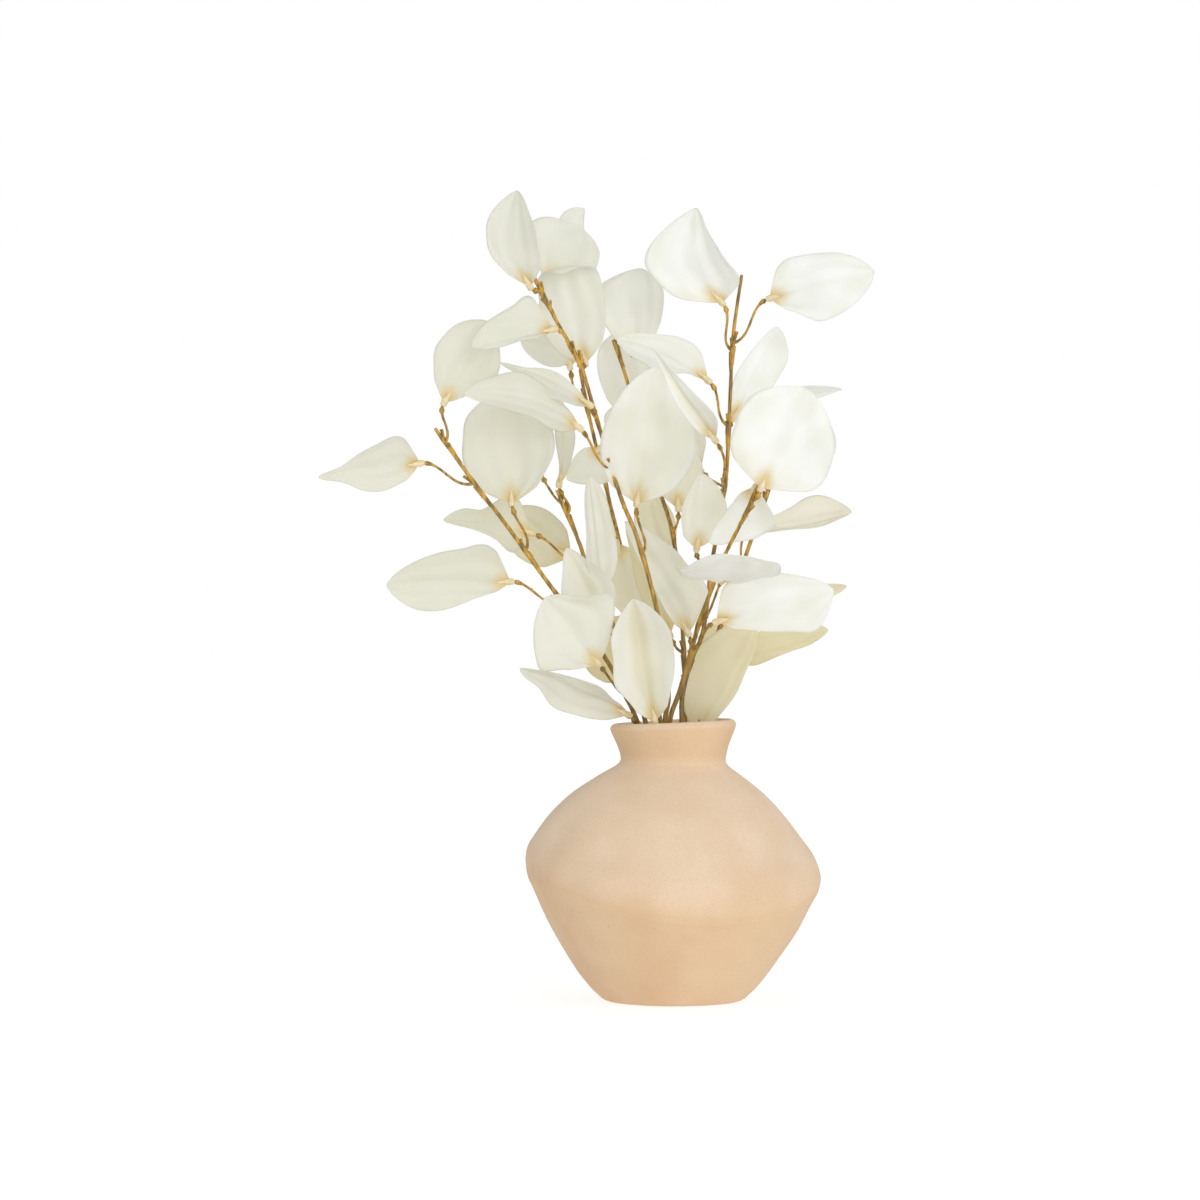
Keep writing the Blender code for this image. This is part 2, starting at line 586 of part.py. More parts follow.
def make_leafy_stem(name, stem, material):
    """One stem: its bar, with everything that grows from it joined on by one union.

    The MANIFOLD solver joins them, because EXACT is slow on so many crossing blades."""
    pieces = leafy_stem_pieces(stem)
    obj = add_object(name, pieces[0][2], material)
    growth = bpy.data.collections.new(name + "_growth")
    bpy.context.scene.collection.children.link(growth)
    for kind, _, mesh in pieces[1:]:
        growth.objects.link(bpy.data.objects.new(kind, mesh))
    union = obj.modifiers.new("growth", "BOOLEAN")
    union.operation = "UNION"
    union.operand_type = "COLLECTION"
    union.collection = growth
    union.solver = "MANIFOLD"
    graph = bpy.context.evaluated_depsgraph_get()
    joined = bpy.data.meshes.new_from_object(obj.evaluated_get(graph))
    obj.modifiers.remove(union)
    obj.data = joined
    for piece in list(growth.objects):
        bpy.data.objects.remove(piece)
    bpy.data.collections.remove(growth)
    joined.shade_smooth()
    joined.set_sharp_from_angle(angle=math.radians(SMOOTH_BELOW))


def main():
    clear_scene()
    make_vase(make_material("unglazed stoneware", STONEWARE_COLOUR, STONEWARE_ROUGHNESS))
    for name, stem in STEMS.items():
        make_leafy_stem(name, stem, make_material(name + " foliage", LEAF_COLOUR, LEAF_ROUGHNESS))


if __name__ == "__main__":
    main()
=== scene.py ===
"""Looks of the vase of bleached eucalyptus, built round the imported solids.

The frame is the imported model's: +Z up, the origin at the middle of the vase's foot, and the
viewer of the front view on the -Y side. Lengths are in millimetres and angles in degrees, as
in the part's source, and MM turns a length into metres where a mesh or a pattern is made.
"""

import math
from collections import namedtuple

import bmesh
import bpy
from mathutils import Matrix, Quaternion, Vector, noise


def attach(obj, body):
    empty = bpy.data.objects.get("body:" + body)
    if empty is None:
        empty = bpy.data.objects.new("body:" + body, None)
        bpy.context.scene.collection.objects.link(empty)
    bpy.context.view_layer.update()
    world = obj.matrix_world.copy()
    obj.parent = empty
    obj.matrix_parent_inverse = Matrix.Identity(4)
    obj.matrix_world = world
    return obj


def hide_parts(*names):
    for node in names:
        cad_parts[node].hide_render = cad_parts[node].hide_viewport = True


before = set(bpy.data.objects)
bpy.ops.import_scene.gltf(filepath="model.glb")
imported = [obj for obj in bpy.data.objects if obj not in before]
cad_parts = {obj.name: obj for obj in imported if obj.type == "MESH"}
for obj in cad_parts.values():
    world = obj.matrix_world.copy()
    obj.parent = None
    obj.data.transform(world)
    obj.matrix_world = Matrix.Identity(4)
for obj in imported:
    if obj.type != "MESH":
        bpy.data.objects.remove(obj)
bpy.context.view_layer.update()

MM = 0.001

# Where the front view is seen from, and how wide its square picture is at the vase's axis
EYE_ACROSS = -44.0
EYE_HEIGHT = 240.0
EYE_DISTANCE = 2400.0
PICTURE_WIDTH = 720.0
SENSOR = 36.0

# The studio: a floor, an even surround, a soft light from the upper right and a fill
FLOOR_RADIUS = 9000.0
FLOOR_GAP = 0.2
FLOOR_GLOW = 0.74
SURROUND_STRENGTH = 0.65
LIGHT_STRENGTH = 0.55
LIGHT_SOFTNESS = 40.0
LIGHT_FROM = (0.6, -0.9, 0.5)
FILL_STRENGTH = 0.85
FILL_FROM = (0.25, -1.0, 0.3)

# The vase, turned about Z
VASE_FOOT_RADIUS = 38.0
VASE_FOOT_ROUND = 9.0
VASE_RIDGE_RADIUS = 88.7
VASE_RIDGE_HEIGHT = 79.0
VASE_RIDGE_ROUND = 26.0
VASE_RIDGE_ARC = (-32.0, 38.0)
VASE_NECK_RADIUS = 31.5
VASE_NECK_HEIGHT = 145.0
VASE_RIM_RADIUS = 37.6
VASE_HEIGHT = 167.0
VASE_WALL = 5.0
VASE_FLOOR = 8.0
VASE_TURNS = 200
# How far the ridge dips at the front and back, where it dips most, how narrow the front dip is,
# and how far the ridge leans from left to right
RIDGE_DIP_FRONT = 20.0
RIDGE_DIP_BACK = 8.0
RIDGE_DIP_ANGLE = 12.0
RIDGE_DIP_POWER = 1.6
RIDGE_LEAN = 3.0
SHOULDER_SWELL = 2.6
OUT_OF_ROUND = 1.0
OUT_OF_ROUND_ANGLE = -26.0
RIM_LEAN = 1.5
# The potter's thumb marks: angle from the front, height, radius and depth
THUMB_MARKS = [
    (-43, 76, 11, 1.3), (-30, 92, 12, 1.1), (-58, 100, 12, 1.3), (-14, 84, 12, 0.4),
    (-70, 84, 12, 0.8), (62, 96, 16, 0.5), (110, 88, 15, 0.8), (160, 96, 14, 0.7),
    (-130, 92, 15, 0.9), (-104, 74, 13, 0.6), (28, 118, 14, 0.4), (-150, 112, 14, 0.5),
]
# Slow unevenness of the wall, as (size, height) of its swells
WALL_SWELLS = [(46.0, 0.55), (15.0, 0.14)]
# The painted light on the shoulder, which is paler where light from above falls on it, starts
# this far below the ridge, and grows over this height to its full
LIT_START = 4.0
LIT_RISE = 26.0
LIT_POWER = 0.6
# It ends this far above the neck's crease, and fades out over this height
LIT_END = 3.0
LIT_FADE = 8.0
# How deep the pale band on the lip is: partly wear, and partly painted light that lifts the shade
# under the foliage
LIP_BAND = 4.0
# The clay's own patterns: how far apart its drifts of colour, its grit and its pinholes are
CLAY_DRIFT = 45.45
CLAY_GRIT = 1.0
CLAY_PINHOLES = 11.11

# The twigs: a bar, thick at its foot and thin at its tip, with a collar at each joint
STEM_RADIUS = (1.75, 1.0)
STEM_FOOT_RISE = 22.0
STEM_SAMPLES = 8
COLLAR_SWELL = 0.35
COLLAR_REACH = 3.2
SEAT_GAP = 0.45
# A petiole leaves the bar at this angle, and each end is pulled by this share of its length
PETIOLE_RADIUS = 0.75
PETIOLE_SPREAD = 70.0
PETIOLE_PULL = 0.42
PETIOLE_SAMPLES = 18
FORK_SWELL = 0.6
FORK_REACH = 2.5
# Below its joint it runs along the bar as a ridge that thins out downwards
ROOT_LENGTH = 13.0
ROOT_RADIUS = 0.4
ROOT_SAMPLES = 8
# The bead stands this far short of the leaf
BEAD_SWELL = 1.1
BEAD_PLACE = 4.5
BEAD_REACH = 1.3
STUB_RADIUS = 1.0
STUB_LENGTH = 8.0
STUB_SPREAD = 28.0
STUB_TURN = 38.0
STUB_SAMPLES = 4
# How the tubes of the twigs are finished
TWIG_FINISH = {
    "Sides": 14, "Pleats": 0.0, "Pleat Height": 0.0, "Grain Height": 0.5 * MM,
    "Grain Size": 3.5 * MM, "Knots": 9000.0, "Knot Size": 0.5 * MM,
}
KNOT_SEED = 11
KNOT_SIZE_SEED = 5
# The plastic's own patterns, and the heights between which it darkens towards the vase
TWIG_STREAKS = 2.381
STREAK_SQUEEZE = 0.22
TWIG_PATCHES = 14.29
TWIG_DARK = 170.0
TWIG_PALE = 280.0

# The sleeves, whose radii go from the open end to where each dies away on the midrib
SLEEVE_LENGTH = 8.0
SLEEVE_OPENING = 2.2
SLEEVE_RADII = [1.7, 2.1, 1.9, 1.5, 1.1, 0.7, 0.3]
SLEEVE_FINISH = {
    "Sides": 20, "Pleats": 5.0, "Pleat Height": 0.08 * MM, "Grain Height": 0.25 * MM,
    "Grain Size": 2.5 * MM, "Knots": 0.0, "Knot Size": 0.1 * MM,
}
SLEEVE_CLOUDS = 3.333
SLEEVE_SEEN_THROUGH = 0.3

# The leaves: an oval blade, gathered at its base
BLADE_THICKNESS = 0.4
BLADE_ROWS = 44
BLADE_COLUMNS = 22
OUTLINE_BASE = 0.57
OUTLINE_TIP = 0.68
GATHER_HALF = 1.7
GATHER_LENGTH = 9.0
GATHER_POWER = 0.35
CUP_PULL = 0.35
FOLD_ROUND = 0.08
CURL_START = 0.7
# The share of its length over which the midrib's first direction is taken
RIB_START = 0.02
# The wave of its edges: its height as a share of the half width, its count and its lag
EDGE_WAVE = 0.06
EDGE_WAVES = 1.5
EDGE_WAVE_LAG = 1.6
# The midrib's groove and the veins. The veins start at full height a quarter of the way out
CREASE_DEPTH = 0.8
CREASE_HALF = 2.2
VEIN_SPACING = 7.5
VEIN_SLANT = 1.1
VEIN_HEIGHT = 0.12
VEIN_CLEAR = 0.25
# The slow crumple of the cloth, and how far apart two leaves lie in its pattern
CRUMPLE_SIZE = 24.0
CRUMPLE_HEIGHT = 1.9
CRUMPLE_STEP = 7.3
# Soft folds from the base to the tip: how many on each half, their height as a share of it, and
# how far the crumple makes them wander
FOLDS = 1.7
FOLD_SHARE = 0.03
FOLD_WANDER = 2.0
# How grey the leaves are towards the left, in the bunch's shade
GREY_LEFT = -110.0
GREY_RIGHT = 40.0
# Painted shade: how yellow the leaves are, from their height, their place in the bunch and the
# trough of their fold
YELLOW_TOP = 330.0
YELLOW_REACH = 130.0
YELLOW_LEAST = 0.02
YELLOW_LOW = 0.04
YELLOW_BEHIND = 0.55
YELLOW_NEAREST = -5.0
YELLOW_FARTHEST = 12.0
YELLOW_FOLD = 0.6
YELLOW_FOLD_HALF = 0.4
# How yellow a leaf is towards its base, and along its midrib there, with the reach of both as
# shares of its length and half width
BASE_YELLOW = 0.15
BASE_REACH = 0.3
RIB_YELLOW = 0.45
RIB_REACH = 0.16
# The stain where the leaf leaves its sleeve: full within the first distance and gone at the
# second, and longer than it is wide
ROOT_STAIN = 0.85
ROOT_STAIN_FULL = 2.0
ROOT_STAIN_END = 9.0
ROOT_STAIN_SHAPE = (1.0, 0.6, 0.0)
# The cloth's own patterns, and how much of the light goes through it
CLOTH_MOTTLE = 16.67
CLOTH_DRIFT = 38.46
CLOTH_THREADS = 0.8976
CLOTH_SEEN_THROUGH = 0.42
CLOTH_FILTER = 0.2

# How full a blade is on each side, at one, two, three and four fifths of its length
OVAL = (1.0, 1.0, 1.0, 1.0)
POINTED = (1.05, 1.0, 0.85, 0.65)
BLUNT = (0.8, 0.95, 1.1, 1.25)
HEART = (1.3, 1.1, 0.9, 0.75)

Leaf = namedtuple(
    "Leaf", "joint base tip width roll bend cup twist sway curl fold left right",
    defaults=(0, 0, 0, 0, OVAL, OVAL),
)
Stem = namedtuple("Stem", "foot neck route leaves")

# Each stem has its foot and neck points (x, y), then the points that the front view shows.
# A front-view point is (across, up, depth): where it shows on the plane of the vase's axis,
# and how far behind that plane it lies. A leaf has the height of its joint on the stem, its
# base and tip, and its width. Then come the blade's turn about its length, its bow, its cup,
# its twist from base to tip, its bow sideways, how far its tip curls out of its face and how
# steeply its halves fold up from the midrib. Left and right say how full it is on each side,
# for one who looks from its base to its tip.
STEMS = {
    "left": Stem(foot=(-20, -10), neck=(-18, -8), route=[
        (-22, 168, -10), (-42, 207, -16), (-72, 246, -24), (-98, 282, -30),
        (-123, 315, -36), (-143, 343, -42),
    ], leaves=[
        Leaf(333, (-137.5, 358.5, -42), (-110, 407, -32), 40, 10, 0.04, 0.15,
             left=(0.95, 1.1, 1.12, 1.2), right=(0.65, 0.95, 1, 0.95)),
        Leaf(309, (-152, 322, -40), (-213, 313.5, -56), 32, -12, 0.05, 0.20, 25,
             left=(0.75, 0.85, 0.75, 0.4), right=(1.6, 1.15, 0.8, 0.4)),
        Leaf(269, (-97, 298, -26), (-102, 366, -16), 54, 0, -0.06, 0.10, fold=0.10,
             left=(1.02, 1.05, 1.05, 1.2), right=(0.9, 1.05, 1.12, 1.2)),
        Leaf(239, (-98, 251, -32), (-172, 248.5, -48), 37, -8, 0.05, 0.15, 10,
             left=(0.45, 0.67, 0.9, 1.1), right=(1.65, 1.25, 1.15, 1.1)),
        Leaf(183, (-45, 202, -38), (-77, 241.5, -54), 55, 0, 0.05, 0.14,
             left=(0.8, 1.1, 1.02, 0.95), right=(0.77, 1.05, 1.25, 0.87)),
        Leaf(159, (-27, 171, -17), (-92, 198.5, -40), 42, -50, -0.04, 0.40,
             left=(0.8, 0.8, 0.9, 0.6), right=(0.8, 1.1, 0.9, 0.8)),
    ]),
    "inner_left": Stem(foot=(-22, 8), neck=(-16, 5), route=[
        (-17, 168, 5), (-33, 218, 6), (-48, 249, 8), (-56, 273, 8), (-64, 292, 8),
        (-70, 306, 8),
    ], leaves=[
        Leaf(292, (-68.5, 309.5, 8), (-71, 364, 2), 34, 72, 0.04, 0.20),
        Leaf(260, (-85, 280, 0), (-138, 288, -8), 32, 25, 0.06, 0.15,
             left=(1.35, 0.65, 0.45, 0.4), right=(1.55, 1.1, 0.55, 0.7)),
        Leaf(254, (-62, 266, 18), (-101, 292, 34), 36, -10, 0.05, 0.15),
        Leaf(236, (-42, 246, -10), (-50, 314, -14), 34, 54, 0.04, 0.15, 15, -0.05),
        Leaf(218, (-42, 225, -14), (-64, 271, -26), 36, 10, 0.04, 0.15, fold=0.15,
             left=(1, 1.1, 0.94, 0.72), right=(0.9, 0.9, 0.8, 0.6)),
        Leaf(298, (-80, 316, 24), (-101, 350, 56), 40, 0, 0.05, 0.20, left=HEART),
    ]),
    "tall": Stem(foot=(-8, -16), neck=(-6, -13), route=[
        (-5, 168, -12), (-3, 186, -12), (-9, 230, -12), (-21, 275, -12),
        (-32, 303, -12), (-44, 342, -14), (-56, 381, -16), (-71, 409, -18),
        (-84, 435, -20),
    ], leaves=[
        Leaf(424, (-86, 428, -24), (-94.5, 485.5, -30), 33, -15, 0.04, 0.20, 0, -0.10,
             left=(0.75, 0.95, 1.05, 1.2), right=(1, 1, 1.05, 0.95)),
        Leaf(422, (-76, 430, 2), (-55, 463, 20), 46, 0, 0.10, 0.15,
             left=(0.9, 1.2, 1.3, 1.3), right=(0.8, 0.95, 0.95, 1.05)),
        Leaf(414, (-70, 430, 12), (-53.5, 475, 32), 30, 20, 0.05, 0.15,
             left=(1, 1, 1.1, 1.25), right=(1, 1, 0.7, 0.2)),
        Leaf(379, (-53, 382, -9), (-70, 452, -9), 46, 0, -0.06, 0.12, curl=150,
             left=(0.9, 0.95, 0.85, 1), right=(0.85, 0.9, 1, 1.2)),
        Leaf(387, (-71.5, 402.5, -28), (-121, 391.5, -52), 36, 8, 0.04, 0.10,
             left=(0.05, 0.05, 0.2, 0.3), right=(1.55, 1.1, 0.95, 0.95)),
        Leaf(381, (-56, 388, 0), (-91.5, 398, 16), 26, -15, 0.05, 0.20),
        Leaf(318, (-56, 343, -26), (-125.5, 364, -60), 27, 0, 0.06, 0, 0, 0.10, fold=-0.6,
             left=(0.95, 0.7, 0.75, 0.75), right=(0.6, 0.85, 1.1, 1)),
        Leaf(348, (-50, 357, -20), (-104, 382, -30), 34, 48, 0.05, 0.20,
             left=(1, 1, 1, 0.8), right=(0.5, 0.5, 0.4, 0.1)),
        Leaf(268, (-22, 298, -6), (-9, 380, -14), 56, 5, 0.05, 0.08, fold=0.12,
             left=(1.03, 1.03, 1, 1), right=(1.05, 1.07, 1.03, 1)),
    ]),
    "middle": Stem(foot=(8, 20), neck=(6, 15), route=[
        (7, 168, 14), (6, 216, 20), (1, 271, 24), (-4, 293, 26), (-17, 330, 28),
        (-27, 369, 30), (-36, 396, 32),
    ], leaves=[
        Leaf(394, (-22, 388, 34), (-20, 439, 16), 44, 5, -0.10, 0.20,
             left=(0.9, 1.1, 1.4, 1.75), right=(0.65, 0.7, 0.78, 0.94)),
        Leaf(281, (3, 295, 16), (-3, 342, 26), 36, 20, 0.05, 0.20),
        Leaf(208, (-2, 219, 17), (-28.5, 285, 22), 32, 0, 0.03, 0.10,
             left=(0.5, 0.5, 0.45, 0.3), right=(0.73, 0.5, 0.4, 0.3)),
        Leaf(350, (-30, 350, 42), (-26, 404, 48), 38, 0, 0.05, 0.20, left=BLUNT),
    ]),
    "right": Stem(foot=(8, -2), neck=(6, 0), route=[
        (5, 169, 1), (6, 186, 3), (12, 207, 5), (18, 222, 7), (24, 267, 11),
        (29, 297, 13), (32, 318, 15), (34, 360, 18), (36, 399, 20), (41, 435, 22),
    ], leaves=[
        Leaf(391, (29, 418.5, 16), (13, 475, 4), 48, -12, 0.05, 0.25, 0, -0.14,
             left=(1.1, 1.15, 1.4, 1.55), right=(1.15, 0.9, 0.75, 0.6)),
        Leaf(395, (58, 421, 14), (120.5, 437, 0), 43, 5, 0.04, 0.12,
             left=(1.15, 1, 0.95, 1), right=(0.7, 1, 1, 1)),
        Leaf(345, (21, 371.5, 12), (-34, 396, 6), 34, 38, 0.06, 0.20, 0, 0.04,
             left=(0.4, 1, 1.3, 1.3), right=(1.05, 0.9, 0.8, 0.75)),
        Leaf(306, (25, 336, -22), (-12.5, 391, -38), 34, -20, 0.03, 0.05, fold=0.35,
             left=(0.4, 0.35, 0.3, 0.2), right=(0.75, 0.5, 0.35, 0.2)),
        Leaf(341, (36, 349, 30), (63, 404, 38), 28, 20, 0.05, 0.15,
             left=(1, 1, 0.85, 0.75), right=(0.5, 0.9, 1.05, 1.3)),
        Leaf(308, (16, 318, 24), (-12, 346, 52), 40, 0, 0.05, 0.20, left=POINTED),
        Leaf(258, (14, 271, 2), (17, 316, -8), 34, 30, 0.05, 0.25),
        Leaf(202, (9, 220, -3), (-29, 287, 10), 38, -10, 0.03, 0.12,
             left=(0.3, 0.2, 0.15, 0.2), right=(1.6, 1.2, 1.1, 0.94)),
    ]),
    "front": Stem(foot=(2, -26), neck=(-3, -20), route=[
        (-2, 168, -21), (4, 186, -23), (12, 214, -27), (16, 228, -29),
        (24, 249, -33), (31, 267, -37), (43, 291, -43), (50, 307, -47),
    ], leaves=[
        Leaf(299, (52.5, 307, -48), (80, 367, -42), 62, 0, 0.03, 0.08,
             left=(1.06, 0.98, 1.05, 1.15), right=(1.2, 1.07, 1.02, 1)),
        Leaf(290, (49.5, 308, -32), (22, 274, -28), 46, 0, -0.05, 0.10,
             left=(1.28, 1, 0.85, 0.64), right=(0.2, 0.17, 0.18, 0.22)),
        Leaf(225, (29, 251, -44), (38, 266, -104), 64, 25, 0.06, -0.12),
        Leaf(211, (26, 227, -40), (96, 246, -58), 46, 5, 0.04, 0.10,
             left=(1.2, 1.03, 0.92, 0.8), right=(0.45, 0.6, 0.82, 1.25)),
        Leaf(156, (-11, 167, -27), (-24, 240.5, -50), 42, 10, -0.06, 0.10, fold=0.5,
             left=(0.8, 1.08, 1, 1.18), right=(0.65, 0.8, 0.92, 1.04)),
    ]),
    "back_right": Stem(foot=(22, 10), neck=(15, 9), route=[
        (15, 168, 12), (24, 211, 28), (38, 251, 44), (52, 291, 56), (66, 331, 66),
        (74, 358, 72),
    ], leaves=[
        Leaf(150, (14, 160, 9), (50, 228, 20), 44, 0, 0, 0,
             left=(1, 1.15, 1.15, 1.1), right=(0.4, 0.45, 0.42, 0.5)),
        Leaf(190, (34, 206, 27), (93, 222, 20), 30, -10, 0.04, 0.10,
             left=(0.6, 0.7, 0.8, 0.8), right=(0.8, 0.6, 0.5, 0.6)),
        Leaf(258, (48, 282, 38), (107, 293, 36), 30, -55, -0.02, 0.20,
             left=(0.8, 1.05, 1.35, 1.6), right=(0.6, 0.65, 0.8, 1)),
        Leaf(218, (56, 236, 24), (104, 248, 22), 36, 40, 0.05, 0.20,
             left=(1, 1, 0.9, 0.7), right=(1, 0.9, 0.5, 0.25)),
        Leaf(336, (52, 360, 54), (101, 367, 44), 28, 50, 0.05, 0.20,
             left=(1, 1, 1, 0.8), right=(1, 0.7, 0.35, 0.2)),
        Leaf(348, (73, 364, 76), (79, 314, 92), 44, 0, 0.05, 0.20, left=BLUNT),
        Leaf(300, (58, 310, 78), (66, 334, 112), 40, 0, 0.05, 0.20, right=HEART),
        Leaf(186, (28, 196, 38), (36, 228, 74), 40, 0, 0.05, 0.20, left=POINTED),
    ]),
    "back_left": Stem(foot=(-8, 24), neck=(-8, 18), route=[
        (-8, 168, 18), (-16, 211, 34), (-28, 258, 52), (-40, 306, 68),
        (-50, 348, 82), (-56, 378, 92),
    ], leaves=[
        Leaf(326, (-44, 331, 56), (-64, 312, 40), 30, 0, 0.05, 0.15,
             left=(1.2, 1.3, 1.2, 1.1), right=(0.5, 0.5, 0.5, 0.5)),
        Leaf(366, (-62, 380, 96), (-70, 428, 92), 42, 0, 0.05, 0.20, right=BLUNT),
        Leaf(246, (-34, 274, 38), (-22, 228, 34), 30, 0, 0.06, 0.20),
        Leaf(316, (-32, 328, 86), (-6, 362, 106), 42, 0, 0.05, 0.20, left=HEART),
        Leaf(244, (-6, 266, 50), (-16, 304, 60), 27, 0, 0.05, 0.20),
        Leaf(180, (-22, 192, 44), (-48, 224, 70), 42, 0, 0.05, 0.20, right=BLUNT),
    ]),
}


# Small helpers for trees and materials

def linear(code):
    """An sRGB hex colour as linear red, green, blue and alpha."""
    shares = [int(code[i:i + 2], 16) / 255 for i in (1, 3, 5)]
    return (*[s / 12.92 if s <= 0.04045 else ((s + 0.055) / 1.055) ** 2.4 for s in shares], 1)


def per_metre(size):
    """The scale of a pattern whose features lie that many millimetres apart."""
    return 1 / (size * MM)


def add_node(tree, kind, inputs=None, **settings):
    """Adds a node with its settings. By socket, inputs holds a value, an output or a node, whose
    first output is then used."""
    node = tree.nodes.new(kind)
    for name, value in settings.items():
        setattr(node, name, value)
    for socket, value in (inputs or {}).items():
        if isinstance(value, bpy.types.Node):
            value = value.outputs[0]
        if isinstance(value, bpy.types.NodeSocket):
            tree.links.new(value, node.inputs[socket])
        else:
            node.inputs[socket].default_value = value
    return node


def new_material(name, **constants):
    """A material with its Principled shader, whose constants are set on its own sockets."""
    material = bpy.data.materials.new(name)
    material.use_nodes = True
    shader = material.node_tree.nodes["Principled BSDF"]
    for socket, value in constants.items():
        shader.inputs[socket.replace("_", " ")].default_value = value
    return material, material.node_tree, shader


def tinted(tree, pattern, none, full, colour, tint, most=1.0):
    """The colour, tinted from nothing where the pattern is none to most where it is full."""
    limits = {"Value": pattern, "From Min": none, "From Max": full, "To Max": most}
    share = add_node(tree, "ShaderNodeMapRange", limits, interpolation_type="SMOOTHSTEP")
    both = {0: share, 6: colour, 7: tint}
    return add_node(tree, "ShaderNodeMix", both, data_type="RGBA").outputs[2]


def let_light_through(tree, shader, colour, share):
    """Lets that share of the light through the surface, in that colour."""
    through = add_node(tree, "ShaderNodeBsdfTranslucent", {"Color": colour})
    both = add_node(tree, "ShaderNodeMixShader", {0: share, 1: shader, 2: through})
    tree.links.new(both.outputs[0], tree.nodes["Material Output"].inputs["Surface"])


# Materials

def make_stoneware():
    """Unglazed stoneware, formed by hand and fired once: dry, open and matte, with fine grit."""
    material, tree, shader = new_material(
        "unglazed stoneware", Roughness=0.92, Specular_IOR_Level=0.28, Sheen_Weight=0.06,
        Sheen_Roughness=0.6,
    )
    place = add_node(tree, "ShaderNodeTexCoord").outputs["Object"]
    # Grit of about 0.4 mm is drawn at 1 mm so that it shows
    drift, grit = [
        add_node(tree, "ShaderNodeTexNoise", {
            "Vector": place, "Scale": per_metre(size), "Detail": detail,
        })
        for size, detail in ((CLAY_DRIFT, 3.0), (CLAY_GRIT, 2.0))
    ]
    # One pinhole lies in every cell of the clay
    pinholes = add_node(tree, "ShaderNodeTexVoronoi", {
        "Vector": place, "Scale": per_metre(CLAY_PINHOLES),
    })
    # The plain clay, and its paler copy for the painted light on the shoulder and the lip's wear
    plain_clay = tinted(tree, drift, 0.3, 0.7, linear("#cfae8a"), linear("#d6ba98"))
    lit_and_worn_clay = tinted(tree, drift, 0.3, 0.7, linear("#d9c0a2"), linear("#dfc9b0"))
    # Painted light: the shoulder is paler where light from above falls on it, and the lip's pale
    # band is partly wear and partly painted light
    lit_and_worn = add_node(tree, "ShaderNodeAttribute", attribute_name="lit_and_worn").outputs["Fac"]
    body = add_node(tree, "ShaderNodeMix", {0: lit_and_worn, 6: plain_clay, 7: lit_and_worn_clay}, data_type="RGBA")
    gritty = tinted(tree, grit, 0.35, 0.75, body.outputs[2], linear("#c19a72"), 0.22)
    colour = tinted(tree, pinholes, 0.045, 0.015, gritty, linear("#a5825f"))
    tree.links.new(colour, shader.inputs["Base Color"])
    raised = {"Height": grit, "Strength": 0.35, "Distance": 0.15 * MM}
    bump = add_node(tree, "ShaderNodeBump", raised)
    tree.links.new(bump.outputs["Normal"], shader.inputs["Normal"])
    return material


def cloth_yellowness(tree, along, across, painted_shade_yellow):
    """How yellow each point of the cloth is: painted shade from the leaf's place and fold, and the
    yellow of its base and its midrib.
    """
    near_base, near_rib = [
        add_node(
            tree, "ShaderNodeMapRange", {"Value": share, "From Min": reach, "From Max": 0.0},
            interpolation_type="SMOOTHSTEP",
        )
        for share, reach in ((along, BASE_REACH), (across, RIB_REACH))
    ]
    rib = add_node(tree, "ShaderNodeMath", {0: near_rib, 1: near_base}, operation="MULTIPLY")
    base = add_node(tree, "ShaderNodeMath", {0: near_base, 1: BASE_YELLOW}, operation="MULTIPLY")
    both = {0: rib, 1: RIB_YELLOW, 2: base}
    stained = add_node(tree, "ShaderNodeMath", both, operation="MULTIPLY_ADD")
    return add_node(tree, "ShaderNodeMath", {0: stained, 1: painted_shade_yellow}, use_clamp=True)


def cloth_colour(tree, cloth):
    """The cloth's colour: bleached, greyed by shade, yellowed by painted shade and at its base and
    midrib, and stained at the leaf's root.
    """
    along, across, painted_shade_yellow, grey = [
        add_node(tree, "ShaderNodeAttribute", attribute_name=name).outputs["Fac"]
        for name in ("along", "across", "painted_shade_yellow", "grey")
    ]
    mottle, drift = [
        add_node(tree, "ShaderNodeTexNoise", {
            "Vector": cloth, "Scale": per_metre(size), "Detail": detail,
        })
        for size, detail in ((CLOTH_MOTTLE, 2.0), (CLOTH_DRIFT, 1.0))
    ]
    fresh = tinted(tree, mottle, 0.35, 0.7, linear("#f5f6f6"), linear("#f2f3f0"))
    shade = {0: grey, 6: fresh, 7: linear("#e5e5dc")}
    greyed = add_node(tree, "ShaderNodeMix", shade, data_type="RGBA").outputs[2]
    drifted = tinted(tree, drift, 0.45, 0.75, greyed, linear("#d9dabf"), 0.3)
    # Painted shade of the bunch and of the folds' troughs, with the yellow of the base and midrib
    painted_shade_and_real_yellow = {0: cloth_yellowness(tree, along, across, painted_shade_yellow), 6: drifted, 7: linear("#d8ca8a")}
    yellowed = add_node(tree, "ShaderNodeMix", painted_shade_and_real_yellow, data_type="RGBA").outputs[2]
    flat = {0: cloth, 1: ROOT_STAIN_SHAPE}
    squeezed = add_node(tree, "ShaderNodeVectorMath", flat, operation="MULTIPLY")
    away = add_node(tree, "ShaderNodeVectorMath", {0: squeezed}, operation="LENGTH")
    return tinted(
        tree, away.outputs["Value"], ROOT_STAIN_END * MM, ROOT_STAIN_FULL * MM, yellowed,
        linear("#e4d09a"), ROOT_STAIN,
    )


